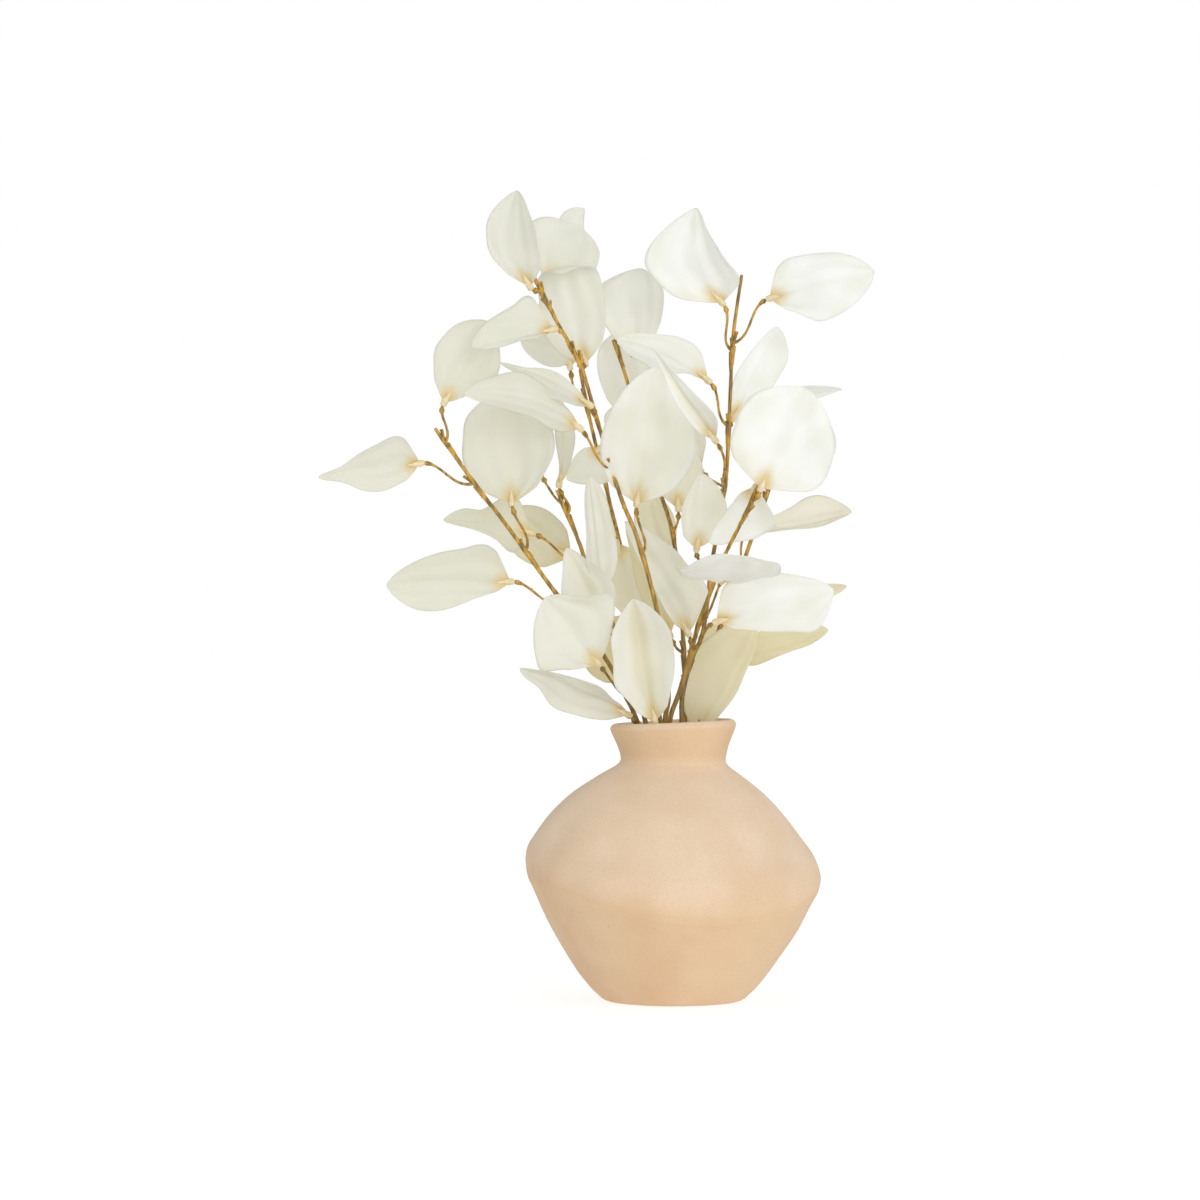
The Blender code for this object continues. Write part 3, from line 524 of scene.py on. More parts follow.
def make_leaf_cloth():
    """Bleached leaf of woven polyester, pressed in a hot mould: dry, thin and half see-through."""
    material, tree, shader = new_material(
        "pressed woven leaf cloth", Roughness=0.7, Specular_IOR_Level=0.3, Sheen_Weight=0.1,
        Sheen_Roughness=0.5,
    )
    cloth = add_node(tree, "ShaderNodeAttribute", attribute_name="cloth").outputs["Vector"]
    colour = cloth_colour(tree, cloth)
    tree.links.new(colour, shader.inputs["Base Color"])
    # Threads 0.3 mm apart are drawn 0.9 mm apart so that they show. The texture has 20 threads
    # in a length of 2 pi at scale 1
    scale = per_metre(CLOTH_THREADS) * math.tau / 20
    threads = [
        add_node(
            tree, "ShaderNodeTexWave", {"Vector": cloth, "Scale": scale, "Distortion": 0.4},
            wave_type="BANDS", bands_direction=direction,
        ).outputs["Fac"]
        for direction in "XY"
    ]
    weave = add_node(tree, "ShaderNodeMath", {0: threads[0], 1: threads[1]}, operation="MAXIMUM")
    raised = {"Height": weave, "Strength": 0.25, "Distance": 0.1 * MM}
    bump = add_node(tree, "ShaderNodeBump", raised)
    tree.links.new(bump.outputs["Normal"], shader.inputs["Normal"])
    # Light that has come through the cloth is yellower than light off its face
    filtering = {0: CLOTH_FILTER, 6: colour, 7: linear("#f4f2dc")}
    filtered = add_node(tree, "ShaderNodeMix", filtering, data_type="RGBA").outputs[2]
    let_light_through(tree, shader, filtered, CLOTH_SEEN_THROUGH)
    return material


def make_twig_plastic():
    """Polythene moulded round wire and brushed with brown stain: satin, streaked lengthwise."""
    material, tree, shader = new_material(
        "moulded twig plastic", Roughness=0.42, Specular_IOR_Level=0.5, Coat_Weight=0.15,
        Coat_Roughness=0.3,
    )
    place = add_node(tree, "ShaderNodeTexCoord").outputs["Object"]
    lengthwise = {"Vector": place, "Scale": (1.0, 1.0, STREAK_SQUEEZE)}
    drawn_out = add_node(tree, "ShaderNodeMapping", lengthwise)
    streaks = add_node(tree, "ShaderNodeTexNoise", {
        "Vector": drawn_out, "Scale": per_metre(TWIG_STREAKS), "Detail": 3.0,
    })
    patches = add_node(tree, "ShaderNodeTexNoise", {
        "Vector": place, "Scale": per_metre(TWIG_PATCHES),
    })
    stained = tinted(tree, streaks, 0.32, 0.68, linear("#6b5012"), linear("#c99a2a"))
    patched = tinted(tree, patches, 0.5, 0.75, stained, linear("#9c8030"), 0.6)
    height = add_node(tree, "ShaderNodeSeparateXYZ", {0: place}).outputs["Z"]
    pale, dark = TWIG_PALE * MM, TWIG_DARK * MM
    colour = tinted(tree, height, pale, dark, patched, linear("#5f4a16"), 0.6)
    tree.links.new(colour, shader.inputs["Base Color"])
    raised = {"Height": streaks, "Strength": 0.5, "Distance": 0.2 * MM}
    bump = add_node(tree, "ShaderNodeBump", raised)
    tree.links.new(bump.outputs["Normal"], shader.inputs["Normal"])
    return material


def make_sleeve_vinyl():
    """Cream shrink sleeve round the end of each petiole: soft vinyl, waxy and slightly clouded."""
    material, tree, shader = new_material(
        "cream sleeve vinyl", Roughness=0.5, Specular_IOR_Level=0.45,
    )
    place = add_node(tree, "ShaderNodeTexCoord").outputs["Object"]
    clouds = add_node(tree, "ShaderNodeTexNoise", {
        "Vector": place, "Scale": per_metre(SLEEVE_CLOUDS), "Detail": 2.0,
    })
    colour = tinted(tree, clouds, 0.35, 0.7, linear("#f3e8c8"), linear("#e9d8a8"))
    tree.links.new(colour, shader.inputs["Base Color"])
    let_light_through(tree, shader, colour, SLEEVE_SEEN_THROUGH)
    return material


def make_studio_white():
    """Matte board for the floor. It glows a little, so that it shows white beside the surround."""
    material, _, _ = new_material(
        "matte white board", Base_Color=linear("#a0a0a0"), Roughness=0.95,
        Emission_Color=(1, 1, 1, 1), Emission_Strength=FLOOR_GLOW,
    )
    return material


# Objects and meshes

def add_object(name, data, material=None):
    """A new object in the scene, with its material where one is given."""
    obj = bpy.data.objects.new(name, data)
    bpy.context.scene.collection.objects.link(obj)
    if material:
        data.materials.append(material)
    return obj


def applied(obj):
    """The object's mesh with its modifiers in it. The object itself goes."""
    graph = bpy.context.evaluated_depsgraph_get()
    mesh = bpy.data.meshes.new_from_object(obj.evaluated_get(graph))
    bpy.data.objects.remove(obj)
    return mesh


def finish_piece(name, mesh, node):
    """A finished piece: it rides on the body, and the CAD node whose place it takes is hidden."""
    piece = add_object(name, mesh)
    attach(piece, "root")
    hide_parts(node)
    return piece


# The vase

def arc(centre, radius, start, end, steps):
    """Points of an arc in the profile's plane, as (radius, height), from start to end degrees."""
    angles = [math.radians(start + (end - start) * i / steps) for i in range(steps + 1)]
    return [(centre[0] + radius * math.cos(a), centre[1] + radius * math.sin(a)) for a in angles]


def catmull_rom(a, b, c, d, t):
    """The value at t from b to c on a smooth curve that also passes a and d."""
    return 0.5 * (
        2 * b + (c - a) * t + (2 * a - 5 * b + 4 * c - d) * t ** 2
        + (3 * b - a - 3 * c + d) * t ** 3
    )


def smooth_route(points, samples):
    """A smooth curve through the points, with that many samples to each stretch."""
    ends = [points[0] * 2 - points[1], *points, points[-1] * 2 - points[-2]]
    route = [points[0]]
    for stretch in zip(ends, ends[1:], ends[2:], ends[3:]):
        route += [catmull_rom(*stretch, i / samples) for i in range(1, samples + 1)]
    return route


def vase_profile():
    """The vase's outline from the middle of the foot, over the lip, to the middle of the floor.

    Each stretch is smooth, and the creases lie where two stretches meet."""
    foot = arc((VASE_FOOT_RADIUS, VASE_FOOT_ROUND), VASE_FOOT_ROUND, -90, -40, 4)
    belly = [(50.4, 8.6), (60.2, 21), (75.2, 45)]
    ridge_centre = (VASE_RIDGE_RADIUS - VASE_RIDGE_ROUND, VASE_RIDGE_HEIGHT)
    ridge = arc(ridge_centre, VASE_RIDGE_ROUND, *VASE_RIDGE_ARC, 6)
    crease = (VASE_NECK_RADIUS + 0.6, 142.4)
    shoulder = [(72, 110), (60, 122.5), (45, 133.6), (35.5, 139.6), crease]
    neck = [crease, (VASE_NECK_RADIUS, VASE_NECK_HEIGHT), (33, 151.5)]
    lip = [
        (VASE_RIM_RADIUS, VASE_HEIGHT - 4),
        (VASE_RIM_RADIUS - 0.5, VASE_HEIGHT - 1.2),
        (VASE_RIM_RADIUS - 2.2, VASE_HEIGHT),
        (VASE_RIM_RADIUS - 4, VASE_HEIGHT - 1.2),
    ]
    mouth = [(33.5 - VASE_WALL, 152), (VASE_NECK_RADIUS - VASE_WALL, VASE_NECK_HEIGHT - 1)]
    inside = [
        mouth[-1], (40, 131), (56, 118.5), (67, 107),
        (VASE_RIDGE_RADIUS - VASE_WALL - 1, VASE_RIDGE_HEIGHT), (70.5, 48), (56, 24),
        (VASE_FOOT_RADIUS - 2, VASE_FLOOR),
    ]
    # Each stretch has its points and how many samples each of its steps gets
    stretches = [
        (foot, 1), (foot[-1:] + belly + ridge + shoulder, 6), (neck + lip + mouth, 5), (inside, 3),
    ]
    profile = [Vector((0, 0, 0))]
    for points, samples in stretches:
        profile += smooth_route([Vector((r, 0, z)) for r, z in points], samples)
    return profile + [Vector((0, 0, VASE_FLOOR))]


def ridge_shift(angle):
    """How far the ridge stands off its nominal height, at an angle about Z from the front."""
    front = max(0.0, math.cos(angle - math.radians(RIDGE_DIP_ANGLE))) ** RIDGE_DIP_POWER
    back = max(0.0, -math.cos(angle)) ** 2
    return -RIDGE_DIP_FRONT * front - RIDGE_DIP_BACK * back - RIDGE_LEAN * math.sin(angle)


def hand_formed(point):
    """Moves a point of the turned vase to where the potter's hands left it. The foot stays flat."""
    angle = math.atan2(point.x, -point.y)
    height = point.z
    radius = math.hypot(point.x, point.y)
    above = height > VASE_RIDGE_HEIGHT
    if above:
        share = max(0.0, (VASE_NECK_HEIGHT - height) / (VASE_NECK_HEIGHT - VASE_RIDGE_HEIGHT))
    else:
        share = max(0.0, (height - VASE_FLOOR) / (VASE_RIDGE_HEIGHT - VASE_FLOOR))
    oval = OUT_OF_ROUND * math.cos(2 * (angle - math.radians(OUT_OF_ROUND_ANGLE)))
    left = -SHOULDER_SWELL * math.sin(angle) if above else 0.0
    swell = 4 * share * (1 - share) * (oval + left)
    grown = 1 + (swell / radius if radius > 1 else 0)
    rim = max(0.0, (height - VASE_NECK_HEIGHT) / (VASE_HEIGHT - VASE_NECK_HEIGHT))
    lift = ridge_shift(angle) * share + RIM_LEAN * rim * math.sin(angle)
    return Vector((point.x * grown, point.y * grown, point.z + lift))


def painted_light_and_lip_wear(point):
    """How pale a point of the turned vase is painted: painted light from below the ridge to the
    neck, and on the lip a band that is partly wear and partly painted light.
    """
    above = max(0.0, (point.z - VASE_RIDGE_HEIGHT + LIT_START) / LIT_RISE) ** LIT_POWER
    below = (VASE_NECK_HEIGHT + LIT_END - point.z) / LIT_FADE
    lip = (point.z - VASE_HEIGHT + LIP_BAND) / LIP_BAND
    return min(1.0, max(0.0, min(above, below), lip))


def worn_by_hand(point):
    """How far the wall stands out at a point of the finished form: slow swells and thumb marks."""
    angle = math.atan2(point.x, -point.y)
    out = 0.0
    for size, height in WALL_SWELLS:
        out += height * noise.noise(point / size)
    for degrees, height, radius, depth in THUMB_MARKS:
        turn = (angle - math.radians(degrees) + math.pi) % math.tau - math.pi
        away = math.hypot(turn * math.hypot(point.x, point.y), point.z - height) / radius
        out -= depth * math.exp(-away * away)
    return out * min(1.0, max(0.0, (point.z - VASE_FLOOR) / VASE_FLOOR))


def make_vase(material):
    """The vase as one closed skin: turned, then pushed out of true and marked by the hands."""
    shape = bmesh.new()
    points = [shape.verts.new(p) for p in vase_profile()]
    edges = [shape.edges.new(pair) for pair in zip(points, points[1:])]
    bmesh.ops.spin(
        shape, geom=points + edges, cent=(0, 0, 0), axis=(0, 0, 1), angle=math.tau,
        steps=VASE_TURNS, use_merge=False,
    )
    bmesh.ops.remove_doubles(shape, verts=shape.verts, dist=0.01)
    lit_and_worn = shape.verts.layers.float.new("lit_and_worn")
    # Painted light on the shoulder, and on the lip partly wear and partly painted light
    for vertex in shape.verts:
        vertex[lit_and_worn] = painted_light_and_lip_wear(vertex.co)
        vertex.co = hand_formed(vertex.co)
    bmesh.ops.recalc_face_normals(shape, faces=shape.faces)
    shape.normal_update()
    for vertex in shape.verts:
        vertex.co += vertex.normal * worn_by_hand(vertex.co)
    bmesh.ops.scale(shape, verts=shape.verts, vec=(MM, MM, MM))
    mesh = bpy.data.meshes.new("vase")
    shape.to_mesh(mesh)
    shape.free()
    mesh.shade_smooth()
    mesh.materials.append(material)
    finish_piece("stoneware_vase", mesh, "vase")


# Routes of the twigs

def from_front_view(point):
    """The place of a front-view point (across, up, depth), as a vector in millimetres."""
    across, up, depth = point
    spread = 1 + depth / EYE_DISTANCE
    return Vector((
        EYE_ACROSS + (across - EYE_ACROSS) * spread,
        depth,
        EYE_HEIGHT + (up - EYE_HEIGHT) * spread,
    ))


def stem_route(stem):
    """The stem's centreline from its foot, on the vase's floor, to its tip."""
    foot = Vector((*stem.foot, VASE_FLOOR + SEAT_GAP))
    lower = [foot, foot + Vector((0, 0, STEM_FOOT_RISE)), Vector((*stem.neck, VASE_NECK_HEIGHT))]
    return smooth_route(lower + [from_front_view(p) for p in stem.route], STEM_SAMPLES)


def on_stem(route, height):
    """The point of the stem's route at a height, and the direction the stem has there."""
    for low, high in zip(route, route[1:]):
        if low.z <= height <= high.z:
            share = (height - low.z) / (high.z - low.z)
            return low.lerp(high, share), (high - low).normalized()
    return route[-1], (route[-1] - route[-2]).normalized()


def spread_from(direction, outward, degrees):
    """The direction that leaves a stem's direction by that many degrees towards outward."""
    sideways = (outward - direction * outward.dot(direction)).normalized()
    spread = math.radians(degrees)
    return direction * math.cos(spread) + sideways * math.sin(spread)


def stem_path(stem, route):
    """The bar's route with its radius at each point, swollen into a collar at each joint."""
    thick, thin = STEM_RADIUS
    path = []
    for i, point in enumerate(route):
        radius = thick + (thin - thick) * i / (len(route) - 1)
        collar = sum(
            math.exp(-((point.z - leaf.joint) / COLLAR_REACH) ** 2) for leaf in stem.leaves
        )
        path.append((point, radius + COLLAR_SWELL * min(1, collar)))
    return path


def root_path(leaf, route, outward):
    """The petiole's root: a ridge along the bar that grows up to the joint."""
    swell = PETIOLE_RADIUS + FORK_SWELL - ROOT_RADIUS
    path = []
    for i in range(ROOT_SAMPLES):
        share = i / ROOT_SAMPLES
        beside = on_stem(route, leaf.joint - ROOT_LENGTH * (1 - share))[0]
        path.append((beside + outward * STEM_RADIUS[1], ROOT_RADIUS + swell * share))
    return path


def petiole_path(leaf, route):
    """From the joint, out from the stem and round to the leaf's base, with a bead at its end."""
    joint, stem_direction = on_stem(route, leaf.joint)
    base, rib_direction = rib_start(leaf)
    length = (base - joint).length
    pull = length * PETIOLE_PULL
    first = joint + spread_from(stem_direction, base - joint, PETIOLE_SPREAD) * pull
    second = base - rib_direction * pull
    path = root_path(leaf, route, spread_from(stem_direction, base - joint, 90))
    for i in range(PETIOLE_SAMPLES + 1):
        t = i / PETIOLE_SAMPLES
        point = (
            joint * (1 - t) ** 3 + first * (3 * t * (1 - t) ** 2)
            + second * (3 * t ** 2 * (1 - t)) + base * t ** 3
        )
        fork = FORK_SWELL * math.exp(-t * length / FORK_REACH)
        bead = BEAD_SWELL * math.exp(-(((1 - t) * length - BEAD_PLACE) / BEAD_REACH) ** 2)
        path.append((point, PETIOLE_RADIUS + fork + bead))
    return path


def stub_path(leaf, route, number):
    """The short cut stub that stands in the fork beside a petiole."""
    joint, direction = on_stem(route, leaf.joint)
    outward = petiole_path(leaf, route)[ROOT_SAMPLES + PETIOLE_SAMPLES // 3][0] - joint
    outward.rotate(Quaternion(direction, math.radians(STUB_TURN if number % 2 else -STUB_TURN)))
    end = joint + spread_from(direction, outward, STUB_SPREAD) * STUB_LENGTH
    steps = range(STUB_SAMPLES + 1)
    return [(joint.lerp(end, step / STUB_SAMPLES), STUB_RADIUS) for step in steps]


def sleeve_path(leaf):
    """The sleeve, from its open end over the leaf's base to where it dies away on the midrib."""
    blade = leaf_frame(leaf)
    base, rib_direction = rib_start(leaf)
    path = [(base - rib_direction * SLEEVE_OPENING, SLEEVE_RADII[0])]
    for i, radius in enumerate(SLEEVE_RADII[1:]):
        t = i / (len(SLEEVE_RADII) - 2) * SLEEVE_LENGTH / blade[1]
        path.append((midrib(leaf, blade, t)[0], radius))
    return path


# Leaves

def leaf_frame(leaf):
    """The leaf's base, its length, and the directions along, across and out of its face."""
    base = from_front_view(leaf.base)
    chord = from_front_view(leaf.tip) - base
    along = chord.normalized()
    viewer = Vector((0, -1, 0))
    facing = (viewer - along * viewer.dot(along)).normalized()
    facing.rotate(Quaternion(along, math.radians(leaf.roll)))
    return base, chord.length, along, along.cross(facing), facing


def fullness(shares, t):
    """How full the blade is at t, when shares says it at one to four fifths of the length."""
    stations = [shares[0]] * 2 + list(shares) + [shares[-1]] * 2
    fifth = min(4, int(t * 5))
    return catmull_rom(*stations[fifth:fifth + 4], t * 5 - fifth)


def half_width(leaf, t, u):
    """Half the blade's width at t from base to tip, on its left where u is below 0."""
    widest = OUTLINE_BASE / (OUTLINE_BASE + OUTLINE_TIP)
    most = widest ** OUTLINE_BASE * (1 - widest) ** OUTLINE_TIP
    oval = t ** OUTLINE_BASE * (1 - t) ** OUTLINE_TIP / most
    left = fullness(leaf.left, t)
    right = fullness(leaf.right, t)
    return leaf.width / 2 * oval * (left + (right - left) * (1 + u) / 2)


def gathered_half(leaf, length, t, u):
    """Half the blade's width where its base is gathered into the sleeve."""
    share = min(1.0, t * length / GATHER_LENGTH)
    gathered = GATHER_HALF * (1 - share)
    return max(gathered, half_width(leaf, t, u) * share ** GATHER_POWER)


def midrib(leaf, blade, t):
    """The midrib's point at t from base to tip, and the direction out of the face there."""
    base, length, along, across, facing = blade
    late = max(0.0, t - CURL_START)
    turn = math.radians(leaf.curl) * late / (1 - CURL_START)
    ahead = late * math.sin(turn) / turn if turn else late
    out = late * (1 - math.cos(turn)) / turn if turn else 0.0
    straight = along * (min(t, CURL_START) + ahead) + facing * out
    bowed = (facing * leaf.bend + across * leaf.sway) * (4 * t * (1 - t))
    return base + (straight + bowed) * length, facing * math.cos(turn) - along * math.sin(turn)


def rib_start(leaf):
    """The leaf's base, and the direction in which its midrib leaves it."""
    blade = leaf_frame(leaf)
    base = blade[0]
    return base, (midrib(leaf, blade, RIB_START)[0] - base).normalized()


def blade_point(leaf, number, blade, t, u):
    """The middle of the blade at t from base to tip, and u from -1 at its left edge to 1."""
    _, length, along, across, _ = blade
    half = gathered_half(leaf, length, t, u)
    middle, out = midrib(leaf, blade, t)
    turn = Quaternion(along, math.radians(leaf.twist) * (t - 0.5))
    side = across.copy()
    side.rotate(turn)
    out.rotate(turn)
    wave = EDGE_WAVE * math.sin(math.tau * EDGE_WAVES * t + number + EDGE_WAVE_LAG * u) * u * u
    folded = leaf.fold * (math.hypot(u, FOLD_ROUND) - FOLD_ROUND)
    rise = (leaf.cup * u * u + folded + wave) * half
    reach = u * half * (1 - CUP_PULL * abs(leaf.cup) * u * u)
    return middle + side * reach + out * rise


def pressed_relief(leaf, number, length, t, u):
    """How far the cloth stands out of its face: rib, veins, a slow crumple and soft folds."""
    half = gathered_half(leaf, length, t, u)
    away = u * half
    crease = -CREASE_DEPTH * math.exp(-(away / CREASE_HALF) ** 2) * (1 - t) ** 0.5
    phase = (t * length - abs(away) * VEIN_SLANT) / VEIN_SPACING
    clear = min(1, abs(u) / VEIN_CLEAR) * (1 - u * u)
    vein = VEIN_HEIGHT * math.cos(math.tau * phase) * clear
    crumple = noise.noise(Vector((
        away / CRUMPLE_SIZE, t * length / CRUMPLE_SIZE, CRUMPLE_STEP * number + leaf.joint
    )))
    wander = math.tau * FOLDS * u + FOLD_WANDER * crumple + number
    fold = FOLD_SHARE * half * math.sin(wander) * (1 - u * u)
    return crease + vein + CRUMPLE_HEIGHT * crumple + fold


def painted_bunch_shade(leaf):
    """How yellow a leaf is painted all over, as shade: more so low down and at the back of the
    bunch.
    """
    _, up, depth = leaf.base
    low = min(1.0, max(0.0, (YELLOW_TOP - up) / YELLOW_REACH))
    behind = min(1.0, max(0.0, (depth - YELLOW_NEAREST) / (YELLOW_FARTHEST - YELLOW_NEAREST)))
    return YELLOW_LEAST + YELLOW_LOW * low + YELLOW_BEHIND * low * behind


def greying(leaf):
    """How grey a leaf is all over: more so towards the left, away from the light."""
    middle = (leaf.base[0] + leaf.tip[0]) / 2
    return min(1.0, max(0.0, (GREY_RIGHT - middle) / (GREY_RIGHT - GREY_LEFT)))


def blade_places():
    """Each place on a blade as (t, u), row by row, and last the tip's single point."""
    for i in range(BLADE_ROWS + 1):
        t = (1 - math.cos(math.pi * i / BLADE_ROWS)) / 2
        for j in range(BLADE_COLUMNS + 1) if i < BLADE_ROWS else [BLADE_COLUMNS // 2]:
            yield t, 2 * j / BLADE_COLUMNS - 1


def blade_faces(start):
    """The faces of a blade whose points begin at start: rows of squares and a fan at the tip."""
    columns = BLADE_COLUMNS + 1
    faces = []
    for i in range(BLADE_ROWS - 1):
        for j in range(BLADE_COLUMNS):
            low = start + i * columns + j
            faces.append((low, low + 1, low + 1 + columns, low + columns))
    last = start + (BLADE_ROWS - 1) * columns
    return faces + [(last + j, last + j + 1, last + columns) for j in range(BLADE_COLUMNS)]


def make_leaves(name, stem, material):
    """All blades of a stem as one mesh, with what the cloth's material reads at each point."""
    points, faces, cloth = [], [], []
    values = {"along": [], "across": [], "painted_shade_yellow": [], "grey": []}
    for number, leaf in enumerate(stem.leaves, 1):
        blade = leaf_frame(leaf)
        length, facing = blade[1], blade[4]
        painted_shade_yellow = painted_bunch_shade(leaf)
        grey = greying(leaf)
        faces += blade_faces(len(points))
        for t, u in blade_places():
            relief = pressed_relief(leaf, number, length, t, u)
            points.append((blade_point(leaf, number, blade, t, u) + facing * relief) * MM)
            away = u * gathered_half(leaf, length, t, u)
            cloth += [away * MM, t * length * MM, number * MM]
            # Painted shade in the trough of a folded leaf
            trough = max(0.0, leaf.fold) * math.exp(-(u / YELLOW_FOLD_HALF) ** 2)
            values["along"].append(t)
            values["across"].append(abs(u))
            values["painted_shade_yellow"].append(painted_shade_yellow + YELLOW_FOLD * trough)
            values["grey"].append(grey)
    sheet = bpy.data.meshes.new(name)
    sheet.from_pydata(points, [], faces)
    for key, numbers in values.items():
        sheet.attributes.new(key, "FLOAT", "POINT").data.foreach_set("value", numbers)
    sheet.attributes.new("cloth", "FLOAT_VECTOR", "POINT").data.foreach_set("vector", cloth)
    guide = add_object(name, sheet, material)
    thickness = guide.modifiers.new("thickness", "SOLIDIFY")
    thickness.thickness = BLADE_THICKNESS * MM
    thickness.offset = 0
    mesh = applied(guide)
    mesh.shade_smooth()
    finish_piece("leaves_" + name, mesh, "leafy_stem_" + name)


# Tubes that follow a path

def add_tubes(tree, given):
    """A tube along each of the guide's lines, and each of its points' share of the way round."""
    radius = add_node(tree, "GeometryNodeInputNamedAttribute", {"Name": "thickness"})
    line = add_node(tree, "GeometryNodeMeshToCurve", {"Mesh": given["Geometry"]})
    ring = add_node(tree, "GeometryNodeCurvePrimitiveCircle", {"Resolution": given["Sides"]})
    around = add_node(tree, "GeometryNodeCaptureAttribute", {"Geometry": ring})
    around.capture_items.new("FLOAT", "around")
    turn = add_node(tree, "GeometryNodeSplineParameter")
    tree.links.new(turn.outputs["Factor"], around.inputs["around"])
    tube = add_node(tree, "GeometryNodeCurveToMesh", {
        "Curve": line, "Profile Curve": around, "Scale": radius.outputs["Attribute"],
        "Fill Caps": True,
    })
    return tube, around.outputs["around"]


def add_grain(tree, given, tube, around):
    """The tube's surface, moved out by its pleats and by a fine grain."""
    height = around
    # The pleats' wave has its count of turns round the tube, and then its height
    for operation, inputs in (
        ("MULTIPLY", {1: given["Pleats"]}), ("MULTIPLY", {1: math.tau}), ("SINE", {}),
        ("MULTIPLY", {1: given["Pleat Height"]}),
    ):
        height = add_node(tree, "ShaderNodeMath", {0: height, **inputs}, operation=operation)
    size = {0: 1.0, 1: given["Grain Size"]}
    bark = add_node(tree, "ShaderNodeTexNoise", {
        "Vector": add_node(tree, "GeometryNodeInputPosition"), "Detail": 2.0,
        "Scale": add_node(tree, "ShaderNodeMath", size, operation="DIVIDE"),
    })
    level = add_node(tree, "ShaderNodeMath", {0: bark, 1: 0.5}, operation="SUBTRACT")
    both = {0: level, 1: given["Grain Height"], 2: height}
    grain = add_node(tree, "ShaderNodeMath", both, operation="MULTIPLY_ADD")
    outward = {0: add_node(tree, "GeometryNodeInputNormal"), "Scale": grain}
    push = add_node(tree, "ShaderNodeVectorMath", outward, operation="SCALE")
    return add_node(tree, "GeometryNodeSetPosition", {"Geometry": tube, "Offset": push})


def add_knots(tree, given, surface):
    """The surface with small knots scattered on it, as instances."""
    spots = add_node(tree, "GeometryNodeDistributePointsOnFaces", {
        "Mesh": surface, "Density": given["Knots"], "Seed": KNOT_SEED,
    })
    size = add_node(tree, "FunctionNodeRandomValue", {2: 0.6, 3: 1.2, "Seed": KNOT_SIZE_SEED})
    grown = {0: size.outputs[1], 1: given["Knot Size"]}
    knots = add_node(tree, "GeometryNodeInstanceOnPoints", {
        "Points": spots, "Rotation": spots.outputs["Rotation"],
        "Instance": add_node(tree, "GeometryNodeMeshIcoSphere", {"Radius": 1.0, "Subdivisions": 2}),
        "Scale": add_node(tree, "ShaderNodeMath", grown, operation="MULTIPLY"),
    })
    joined = add_node(tree, "GeometryNodeJoinGeometry")
    for part in (knots, surface):
        tree.links.new(part.outputs[0], joined.inputs[0])
    return joined


def make_tube_tree():
    """Geometry Nodes that turn a guide's edges into tubes with pleats, grain and small knots."""
    tree = bpy.data.node_groups.new("tubes along paths", "GeometryNodeTree")
    asked = {"Geometry": "Geometry", "Sides": "Int", "Material": "Material"}
    asked.update({name: "Float" for name in TWIG_FINISH if name != "Sides"})
    for name, kind in asked.items():
        tree.interface.new_socket(name, in_out="INPUT", socket_type="NodeSocket" + kind)
    tree.interface.new_socket("Geometry", in_out="OUTPUT", socket_type="NodeSocketGeometry")
    given = add_node(tree, "NodeGroupInput").outputs
    grained = add_grain(tree, given, *add_tubes(tree, given))
    shape = add_knots(tree, given, grained)
    for kind in ("GeometryNodeRealizeInstances", "GeometryNodeSetShadeSmooth"):
        shape = add_node(tree, kind, {"Geometry": shape})
    dressed = {"Geometry": shape, "Material": given["Material"]}
    last = add_node(tree, "GeometryNodeSetMaterial", dressed)
    add_node(tree, "NodeGroupOutput", {"Geometry": last})
    return tree


def make_tubes(name, paths, tree, node, finish, material):
    """One mesh of tubes along the paths, each a list of (point, radius)."""
    points, edges, radii = [], [], []
    for path in paths:
        edges += [(len(points) + i, len(points) + i + 1) for i in range(len(path) - 1)]
        points += [point * MM for point, _ in path]
        radii += [radius * MM for _, radius in path]
    lines = bpy.data.meshes.new(name)
    lines.from_pydata(points, edges, [])
    lines.attributes.new("thickness", "FLOAT", "POINT").data.foreach_set("value", radii)
    guide = add_object(name, lines)
    modifier = guide.modifiers.new("tubes", "NODES")
    modifier.node_group = tree
    inputs = {**finish, "Material": material}
    for socket in tree.interface.items_tree:
        if socket.name in inputs:
            modifier[socket.identifier] = inputs[socket.name]
    finish_piece(name, applied(guide), node)


def make_stem(name, stem, tree, cloth, plastic, vinyl):
    """A leafy stem's three pieces: its twigs, the sleeves on them, and the leaves."""
    route = stem_route(stem)
    node = "leafy_stem_" + name
    twigs = [stem_path(stem, route)]
    for number, leaf in enumerate(stem.leaves, 1):
        twigs += [petiole_path(leaf, route), stub_path(leaf, route, number)]
    sleeves = [sleeve_path(leaf) for leaf in stem.leaves]
    make_tubes("twigs_" + name, twigs, tree, node, TWIG_FINISH, plastic)
    make_tubes("sleeves_" + name, sleeves, tree, node, SLEEVE_FINISH, vinyl)
    make_leaves(name, stem, cloth)


# The studio

def add_light(name, strength, direction):
    """A soft light that comes from far off in that direction."""
    light = bpy.data.lights.new(name, "SUN")
    light.energy = strength
    light.angle = math.radians(LIGHT_SOFTNESS)
    lamp = add_object(name, light)
    lamp.rotation_mode = "QUATERNION"
    lamp.rotation_quaternion = Vector(direction).to_track_quat("Z", "Y")
    return light


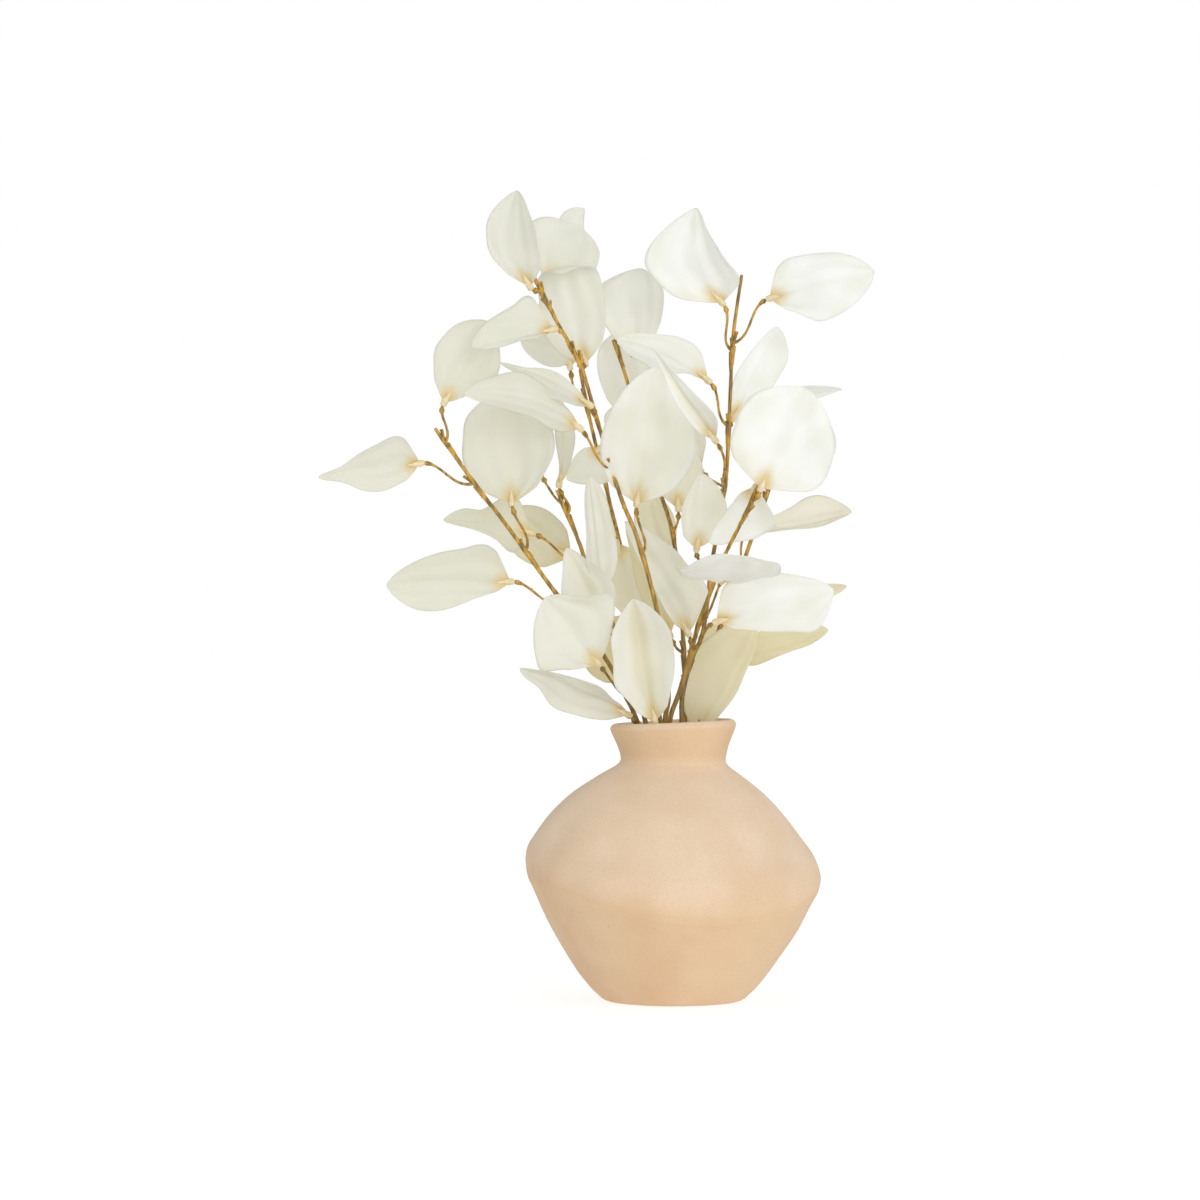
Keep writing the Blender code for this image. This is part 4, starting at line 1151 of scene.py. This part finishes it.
def make_floor():
    """A round pale floor, just under the vase's foot."""
    shape = bmesh.new()
    bmesh.ops.create_circle(shape, cap_ends=True, segments=96, radius=FLOOR_RADIUS * MM)
    bmesh.ops.translate(shape, verts=shape.verts, vec=(0, 0, -FLOOR_GAP * MM))
    floor = bpy.data.meshes.new("floor")
    shape.to_mesh(floor)
    shape.free()
    add_object("floor", floor, make_studio_white())


def make_studio():
    """A white floor, an even white surround, a soft light from the upper right and a fill."""
    make_floor()
    world = bpy.data.worlds.new("even white surround")
    world.use_nodes = True
    tree = world.node_tree
    # The surround looks white, and lights the scene less than it would at that brightness
    seen = add_node(tree, "ShaderNodeBackground", {"Color": (1, 1, 1, 1), "Strength": 1.0})
    lit = tree.nodes["Background"]
    lit.inputs["Color"].default_value = (1, 1, 1, 1)
    lit.inputs["Strength"].default_value = SURROUND_STRENGTH
    ray = add_node(tree, "ShaderNodeLightPath").outputs["Is Camera Ray"]
    mix = add_node(tree, "ShaderNodeMixShader", {
        0: ray, 1: lit.outputs["Background"], 2: seen.outputs["Background"],
    })
    tree.links.new(mix.outputs[0], tree.nodes["World Output"].inputs["Surface"])
    bpy.context.scene.world = world
    bpy.context.scene.view_settings.view_transform = "Standard"
    add_light("soft light", LIGHT_STRENGTH, LIGHT_FROM)
    # The fill stands for many low reflectors, so it casts no shadow of its own
    add_light("fill light", FILL_STRENGTH, FILL_FROM).use_shadow = False


def make_camera():
    """The front view's camera, level, for a square picture."""
    lens = bpy.data.cameras.new("front view")
    lens.sensor_width = SENSOR
    lens.lens = SENSOR * EYE_DISTANCE / PICTURE_WIDTH
    camera = add_object("front view", lens)
    camera.location = Vector((EYE_ACROSS, -EYE_DISTANCE, EYE_HEIGHT)) * MM
    camera.rotation_euler = (math.pi / 2, 0, 0)
    bpy.context.scene.camera = camera


make_camera()
make_studio()
make_vase(make_stoneware())
tube_tree = make_tube_tree()
leaf_cloth = make_leaf_cloth()
twig_plastic = make_twig_plastic()
sleeve_vinyl = make_sleeve_vinyl()
for stem_name, leafy_stem in STEMS.items():
    make_stem(stem_name, leafy_stem, tube_tree, leaf_cloth, twig_plastic, sleeve_vinyl)
